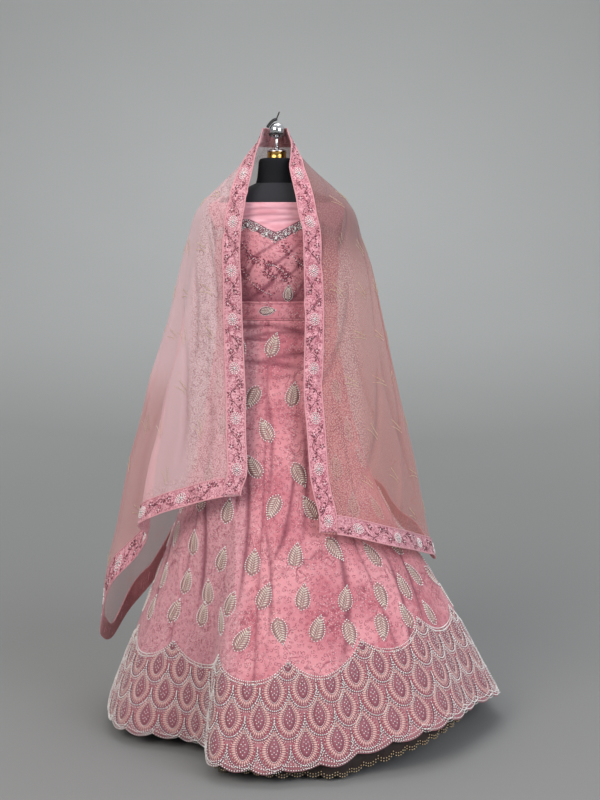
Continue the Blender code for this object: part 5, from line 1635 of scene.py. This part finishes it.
def stand_finishes(finishes):
    """The stand's own solids keep their shapes and get their real finishes."""
    for node in ("stand_pole", "base_hub", *(f"base_arm_{number + 1}" for number in range(4))):
        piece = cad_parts[node]
        finish = finishes["chrome"] if node == "stand_pole" else finishes["powder"]
        piece.data.materials.clear()
        piece.data.materials.append(finish)


# Soft lamps: where each hangs, its width, its share of the key light's power and its colour
Lamp = namedtuple("Lamp", "name x y z size share colour")
LAMPS = named_rows(Lamp,
    ("key", -2.4, -3.6, 3.4, 2.6, 1.0, "fff6f0"), ("fill", 3.0, -3.2, 2.4, 3.0, 0.80, "f6f7ff"),
    ("top", 0.2, 0.6, 4.2, 2.4, 0.30, "ffffff"))
LAMP_AIM_Z = 0.85
# The flat floor's reach, the wall's, how high the curve between them climbs and the wall's top
FLOOR_REACH, WALL_REACH, SWEEP_RISE, WALL_TOP_Z = 3.6, 9.5, 3.4, 4.6
# The camera's focal length, sensor width, place and how many degrees it looks down
LENS_MM, FILM_MM = 59.85, 36.0
CAMERA_PLACE, CAMERA_DIP = (0.062, -3.60, 1.30), 6.7


def studio(settings):
    """A pale floor that sweeps up all round, three soft lights and the camera of the photograph."""
    sweep = paper_sweep(matt_paper(tuple(settings.floor_colour)))
    world = bpy.context.scene.world or bpy.data.worlds.new("studio")
    bpy.context.scene.world = world
    world.use_nodes = True
    backdrop = world.node_tree.nodes["Background"]
    backdrop.inputs["Color"].default_value = hex_linear("e4e6e8")
    backdrop.inputs["Strength"].default_value = settings.room_light
    hang_lamps(settings.key_power)
    place_camera()


def matt_paper(tone):
    """Matt pale paper with painted shade: darker close to the part, a painted shadow round it, and darker
    away from a painted light patch on the wall behind it.
    """
    grey, tree, shader = new_material("matt_paper_sweep", Roughness=0.95, Specular_IOR_Level=0.1)
    place = add_node(tree, "TexCoord", take=3)
    fibre = add_node(tree, "TexNoise", {"Scale": 1.2, "Detail": 2.0, "Vector": place})
    paper = add_node(tree, "Mix", {**COLOUR_MIX, 0: fibre, MIX_A: tone,
            MIX_B: tuple(0.95 * part for part in tone[:3]) + (1.0,)}, take=MIX_OUT)
    level = add_node(tree, "Mapping", {"Scale": (1.0, 1.0, 0.0), "Vector": place})
    reach = add_node(tree, "VectorMath", {"operation": "LENGTH", 0: level}, take=1)
    # Painted shadow, darkest near the part
    close = add_node(tree, "MapRange", {"From Min": 0.6, "From Max": 7.0, "To Min": 0.52, "To Max": 0.0,
            "Value": reach})
    # Painted light: a light patch on the wall behind, the paper darker away from it
    away = add_node(tree, "VectorMath", {"operation": "DISTANCE", 0: place, 1: (0.0, WALL_REACH, 1.0)},
            take=1)
    light_patch_falloff = add_node(tree, "MapRange", {"From Max": 5.0, "To Max": 0.52, "Value": away})
    share = add_node(tree, "Math", {"operation": "ADD", 0: close, 1: light_patch_falloff})
    painted_shade_paper = add_node(tree, "Mix", {**COLOUR_MIX, 0: share, MIX_A: paper,
            MIX_B: tuple(0.30 * part for part in tone[:3]) + (1.0,)}, take=MIX_OUT)
    tree.links.new(painted_shade_paper, shader.inputs["Base Color"])
    return grey


def paper_sweep(material):
    """A flat disc that curves up into a wall all round: out by the sine and up by one less the
    cosine of a quarter turn."""
    bend = np.linspace(0.0, np.pi / 2, 15)[1:]
    curve = FLOOR_REACH + (WALL_REACH - FLOOR_REACH) * np.sin(bend)
    out = np.concatenate([[0.0005, 1.2, 2.4, FLOOR_REACH], curve, [WALL_REACH]])[::-1, None]
    rise = np.concatenate([np.zeros(4), SWEEP_RISE * (1 - np.cos(bend)), [WALL_TOP_Z]])[::-1, None]
    turn = np.linspace(0.0, 2 * np.pi, 97)[None, :-1]
    points = np.stack([out * np.cos(turn), out * np.sin(turn), rise - 0.0004 + 0 * turn], -1)
    faces = grid_faces(*points.shape[:2], closed=True)
    return new_piece("floor_sweep", points, faces, material)


def hang_lamps(key_power):
    """The soft lamps, all turned to the middle of the part and hidden from the camera."""
    for row in LAMPS:
        lamp = bpy.data.lights.new(row.name, "AREA")
        lamp.size = row.size
        lamp.energy = key_power * row.share
        lamp.color = hex_linear(row.colour)[:3]
        holder = bpy.data.objects.new(row.name, lamp)
        holder.location = (row.x, row.y, row.z)
        aim = np.array([0.0, 0.0, LAMP_AIM_Z]) - np.array([row.x, row.y, row.z])
        holder.rotation_euler = direction_to_euler(aim)
        holder.visible_camera = False
        bpy.context.scene.collection.objects.link(holder)


def place_camera():
    """The photograph's camera: its height, its distance and how far it looks down."""
    lens = bpy.data.cameras.new("view")
    lens.lens = LENS_MM
    lens.sensor_width = FILM_MM
    camera = bpy.data.objects.new("view", lens)
    camera.location = CAMERA_PLACE
    camera.rotation_euler = (math.radians(90.0 - CAMERA_DIP), 0.0, 0.0)
    bpy.context.scene.collection.objects.link(camera)
    bpy.context.scene.camera = camera
    bpy.context.scene.view_settings.view_transform = "Standard"


def direction_to_euler(aim):
    """The turn that points a lamp's own -Z along a direction."""
    return Vector(aim).to_track_quat("-Z", "Y").to_euler()


# Finishes with a fine grain: key, material name, colour, darker colour, grains in a metre, relief
# and the shader's own numbers
GRAINED = (
    # dark_line: a darker band laid under the bead outlines, the neck band's beads and the small leaves
    ("dark_line", "dark_outline_thread", "8a5864", "6a404c", 600.0, 0.4, dict(Roughness=0.6)),
    ("heart", "maroon_satin_stitch", "ae6672", "824858", 600.0, 0.5, dict(Roughness=0.5, Sheen_Weight=0.2)),
    ("leaf_ground", "taupe_net_ground", "bc908e", "946668", 500.0, 0.5, dict(Roughness=0.7)),
    ("cream", "cream_satin_thread", "f6ebdf", "dccabc", 900.0, 0.4, dict(Roughness=0.4, Sheen_Weight=0.2)),
    ("maroon", "maroon_thread", "8a3a4c", "64202f", 900.0, 0.4, dict(Roughness=0.55, Sheen_Weight=0.2)),
    ("vine", "dusty_maroon_thread", "a05264", "823c4e", 900.0, 0.4, dict(Roughness=0.6)),
    ("gold_thread", "antique_gold_thread", "e6d2b4", "c4a882", 900.0, 0.4, dict(Roughness=0.42)),
    ("piping", "pale_pink_piping", "e2a6ac", "c98791", 420.0, 0.4, dict(Roughness=0.5, Sheen_Weight=0.3)),
    ("silver", "silvered_glass_bead", "ffffff", "f6f0ea", 700.0, 0.1, dict(Roughness=0.2, Coat_Weight=1.0)),
    ("gold_bead", "gold_lined_bead", "ddc8a4", "b49a70", 700.0, 0.1,
     dict(Roughness=0.28, Metallic=0.15, Coat_Weight=0.5)),
    ("black_bead", "jet_bead", "1c1a1a", "0c0b0c", 500.0, 0.2, dict(Roughness=0.25)),
    ("stone", "foiled_glass_stone", "eceae8", "aaa6a6", 260.0, 0.3,
     dict(Roughness=0.12, Metallic=0.5, Coat_Weight=0.8)),
    ("under", "brown_brocade_under_layer", "35231f", "1a100e", 120.0, 0.6,
     dict(Roughness=0.7, Sheen_Weight=0.2)),
    ("charcoal", "charcoal_jersey", "35353a", "252529", 900.0, 0.6,
     dict(Roughness=0.85, Sheen_Weight=0.06, Specular_IOR_Level=0.3)),
    ("black_jersey", "black_jersey", "15171d", "0c0d11", 900.0, 0.6,
     dict(Roughness=0.8, Specular_IOR_Level=0.25)),
    ("chrome", "polished_chrome_plate", "dcdcde", "c6c6ca", 60.0, 0.05, dict(Roughness=0.08, Metallic=1.0)),
    ("gold", "gold_plate", "d8b468", "b98d44", 60.0, 0.05, dict(Roughness=0.18, Metallic=1.0)),
    ("powder", "olive_grey_powder_coat", "6a6256", "4b463d", 800.0, 0.5, dict(Roughness=0.55)),
)


# From one ridge of satin stitch to the next, in metres
STITCH_PITCH = 0.0054


def make_finishes(scene):
    """Every material of the garment and the form, by its plain name."""
    look = scene.lehenga_look
    rose, deep = tuple(look.cloth_colour), tuple(look.cloth_shadow)
    made = {}
    made["embroidered"] = embroidered_net("embroidered_net_over_satin", rose, deep, hex_linear("8e3a4e"),
            hex_linear("e3b3b8"))
    made["satin"] = plain_satin("yoke_satin", tuple(look.yoke_colour), hex_linear("d9929e"))
    made["velvet"] = border_velvet("border_velvet", tuple(look.border_colour), hex_linear("a85866"))
    made["net"] = sheer_net("soft_nylon_net", hex_linear("fcccd2"), hex_linear("d48c84"),
            hex_linear("e8ccc8"))
    made["corded"] = corded_thread("corded_beige_thread", hex_linear("e8bcb4"), hex_linear("96606a"),
            STITCH_PITCH)
    made["rose_band"] = corded_thread("rose_satin_band", hex_linear("b45a68"), hex_linear("944252"),
            STITCH_PITCH)
    for key, name, colour, darker, scale, relief, sockets in GRAINED:
        made[key] = grained(name, hex_linear(colour), hex_linear(darker), scale, relief, **sockets)
    return made


def colour_setting(name, description, code):
    """A colour for the panel, from its hex code."""
    return bpy.props.FloatVectorProperty(name=name, description=description, subtype="COLOR", size=4,
            min=0.0, max=1.0, default=hex_linear(code))


def length_setting(name, description, length, least, most):
    """A length for the panel, in metres."""
    return bpy.props.FloatProperty(name=name, description=description, default=length, min=least, max=most,
            unit="LENGTH")


class LehengaLook(bpy.types.PropertyGroup):
    """Colours of the main cloths."""
    cloth_colour: colour_setting("Cloth", "Satin under the embroidered net", "e298a0")
    cloth_shadow: colour_setting("Cloth, deep", "The net's darker patches", "c4707c")
    yoke_colour: colour_setting("Yoke", "Plain satin above the sweetheart edge", "efb6c2")
    border_colour: colour_setting("Border", "Velvet round the dupatta", "ecb0ba")


class LehengaSizes(bpy.types.PropertyGroup):
    """Sizes of the beads, leaves and medallions."""
    leaf_length: length_setting("Leaf length", "From the base bead to the tip bead", 0.066, 0.02, 0.12)
    leaf_width: length_setting("Leaf width", "Across the widest beads", 0.037, 0.01, 0.08)
    bead_diameter: length_setting("Leaf bead", "Real beads are 2.5 mm; drawn larger so that they show",
            0.0040, 0.001, 0.008)
    hem_bead_diameter: length_setting("Hem bead", "Beads of the hem border", 0.0044, 0.001, 0.008)
    border_bead_diameter: length_setting("Border bead", "Beads of the dupatta's medallions", 0.0034, 0.001,
            0.008)
    medallion_spacing: length_setting("Medallion spacing", "From one beaded oval to the next", 0.125, 0.05,
            0.4)


class LehengaStudio(bpy.types.PropertyGroup):
    """Floor and light."""
    floor_colour: colour_setting("Floor", "Pale grey sweep", "f1f3f2")
    key_power: bpy.props.FloatProperty(name="Key light", description="Power of the soft light at the left",
            default=130.0, min=0.0, max=2000.0, unit="POWER")
    room_light: bpy.props.FloatProperty(name="Room light",
            description="Strength of the even light from all round", default=0.68, min=0.0, max=5.0,
            subtype="FACTOR")


FINISHES = {}


def riding(pieces):
    """Each piece rides on the one body."""
    for piece in pieces:
        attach(piece, "root")


class LEHENGA_OT_finishes(bpy.types.Operator):
    """Make every material"""
    bl_idname = "lehenga.finishes"
    bl_label = "Finishes"

    def execute(self, context):
        FINISHES.update(make_finishes(context.scene))
        return {"FINISHED"}


class LEHENGA_OT_skirt(bpy.types.Operator):
    """Flared panels, waistband and brown under-layer"""
    bl_idname = "lehenga.skirt"
    bl_label = "Skirt"

    def execute(self, context):
        skirt_panels(FINISHES["embroidered"])
        waistband(FINISHES["embroidered"])
        under_layer(FINISHES["under"])
        return {"FINISHED"}


class LEHENGA_OT_leaves(bpy.types.Operator):
    """Beaded leaves scattered over the skirt"""
    bl_idname = "lehenga.leaves"
    bl_label = "Leaves"

    def execute(self, context):
        riding(leaf_pieces(context.scene.lehenga_sizes, FINISHES))
        return {"FINISHED"}


class LEHENGA_OT_hem_border(bpy.types.Operator):
    """Petal border, scallop line and edge beads of the hem"""
    bl_idname = "lehenga.hem_border"
    bl_label = "Hem border"

    def execute(self, context):
        sizes = context.scene.lehenga_sizes
        riding(hem_border(sizes, FINISHES))
        riding(under_beads(sizes, FINISHES))
        return {"FINISHED"}


class LEHENGA_OT_choli(bpy.types.Operator):
    """Choli body, yoke and back"""
    bl_idname = "lehenga.choli"
    bl_label = "Choli"

    def execute(self, context):
        choli_pieces(FINISHES)
        return {"FINISHED"}


class LEHENGA_OT_neckline(bpy.types.Operator):
    """Bead band, stones and bead curves of the choli"""
    bl_idname = "lehenga.neckline"
    bl_label = "Choli beads"

    def execute(self, context):
        riding(neckline(context.scene.lehenga_sizes, FINISHES))
        return {"FINISHED"}


class LEHENGA_OT_dupatta(bpy.types.Operator):
    """Sheer net with its velvet border, medallions and sprigs"""
    bl_idname = "lehenga.dupatta"
    bl_label = "Dupatta"

    def execute(self, context):
        sizes = context.scene.lehenga_sizes
        net = net_sheet(FINISHES["net"])
        for strip in (front_strip("left"), front_strip("right"), hem_strip(), top_strip()):
            piece, cords = border_strip(strip, FINISHES["velvet"], FINISHES["piping"])
            riding(cords)
            if strip.length > 0.2:
                riding(border_ornaments(strip, sizes, FINISHES))
        riding(net_sprigs(FINISHES))
        return {"FINISHED"}


class LEHENGA_OT_dress_form(bpy.types.Operator):
    """Torso, neck, ring, cap, stem, ball and its tie, and the stand's finishes"""
    bl_idname = "lehenga.dress_form"
    bl_label = "Dress form"

    def execute(self, context):
        pieces = form_torso(FINISHES["charcoal"]) + form_top(FINISHES) + [ball_tie(FINISHES)]
        riding(pieces)
        stand_finishes(FINISHES)
        return {"FINISHED"}


class LEHENGA_OT_studio(bpy.types.Operator):
    """Floor, lights and camera"""
    bl_idname = "lehenga.studio"
    bl_label = "Studio"

    def execute(self, context):
        studio(context.scene.lehenga_studio)
        return {"FINISHED"}


class LEHENGA_PT_panel(bpy.types.Panel):
    """Lists the garment's sizes, colours and steps"""
    bl_idname = "LEHENGA_PT_panel"
    bl_label = "Lehenga choli"
    bl_space_type = "VIEW_3D"
    bl_region_type = "UI"
    bl_category = "Lehenga"

    def draw(self, context):
        layout = self.layout
        for name in ("lehenga_look", "lehenga_sizes", "lehenga_studio"):
            group = getattr(context.scene, name)
            box = layout.box()
            for key in group.bl_rna.properties.keys():
                if key not in ("rna_type", "name"):
                    box.prop(group, key)
        for step in STEPS:
            layout.operator(step.bl_idname)


STEPS = (LEHENGA_OT_finishes, LEHENGA_OT_dress_form, LEHENGA_OT_choli, LEHENGA_OT_neckline, LEHENGA_OT_skirt,
        LEHENGA_OT_leaves, LEHENGA_OT_hem_border, LEHENGA_OT_dupatta, LEHENGA_OT_studio)
GROUPS = (("lehenga_look", LehengaLook), ("lehenga_sizes", LehengaSizes), ("lehenga_studio", LehengaStudio))


def register():
    """Register every class and hang the property groups on the scene."""
    for _, group in GROUPS:
        bpy.utils.register_class(group)
    for step in STEPS:
        bpy.utils.register_class(step)
    bpy.utils.register_class(LEHENGA_PT_panel)
    for name, group in GROUPS:
        setattr(bpy.types.Scene, name, bpy.props.PointerProperty(type=group))


def unregister():
    """Undo register."""
    for name, _ in GROUPS:
        delattr(bpy.types.Scene, name)
    bpy.utils.unregister_class(LEHENGA_PT_panel)
    for step in reversed(STEPS):
        bpy.utils.unregister_class(step)
    for _, group in reversed(GROUPS):
        bpy.utils.unregister_class(group)


def main():
    """Build the whole scene, one step after the other."""
    register()
    for step in STEPS:
        family, name = step.bl_idname.split(".")
        getattr(getattr(bpy.ops, family), name)()


if __name__ == "__main__":
    main()
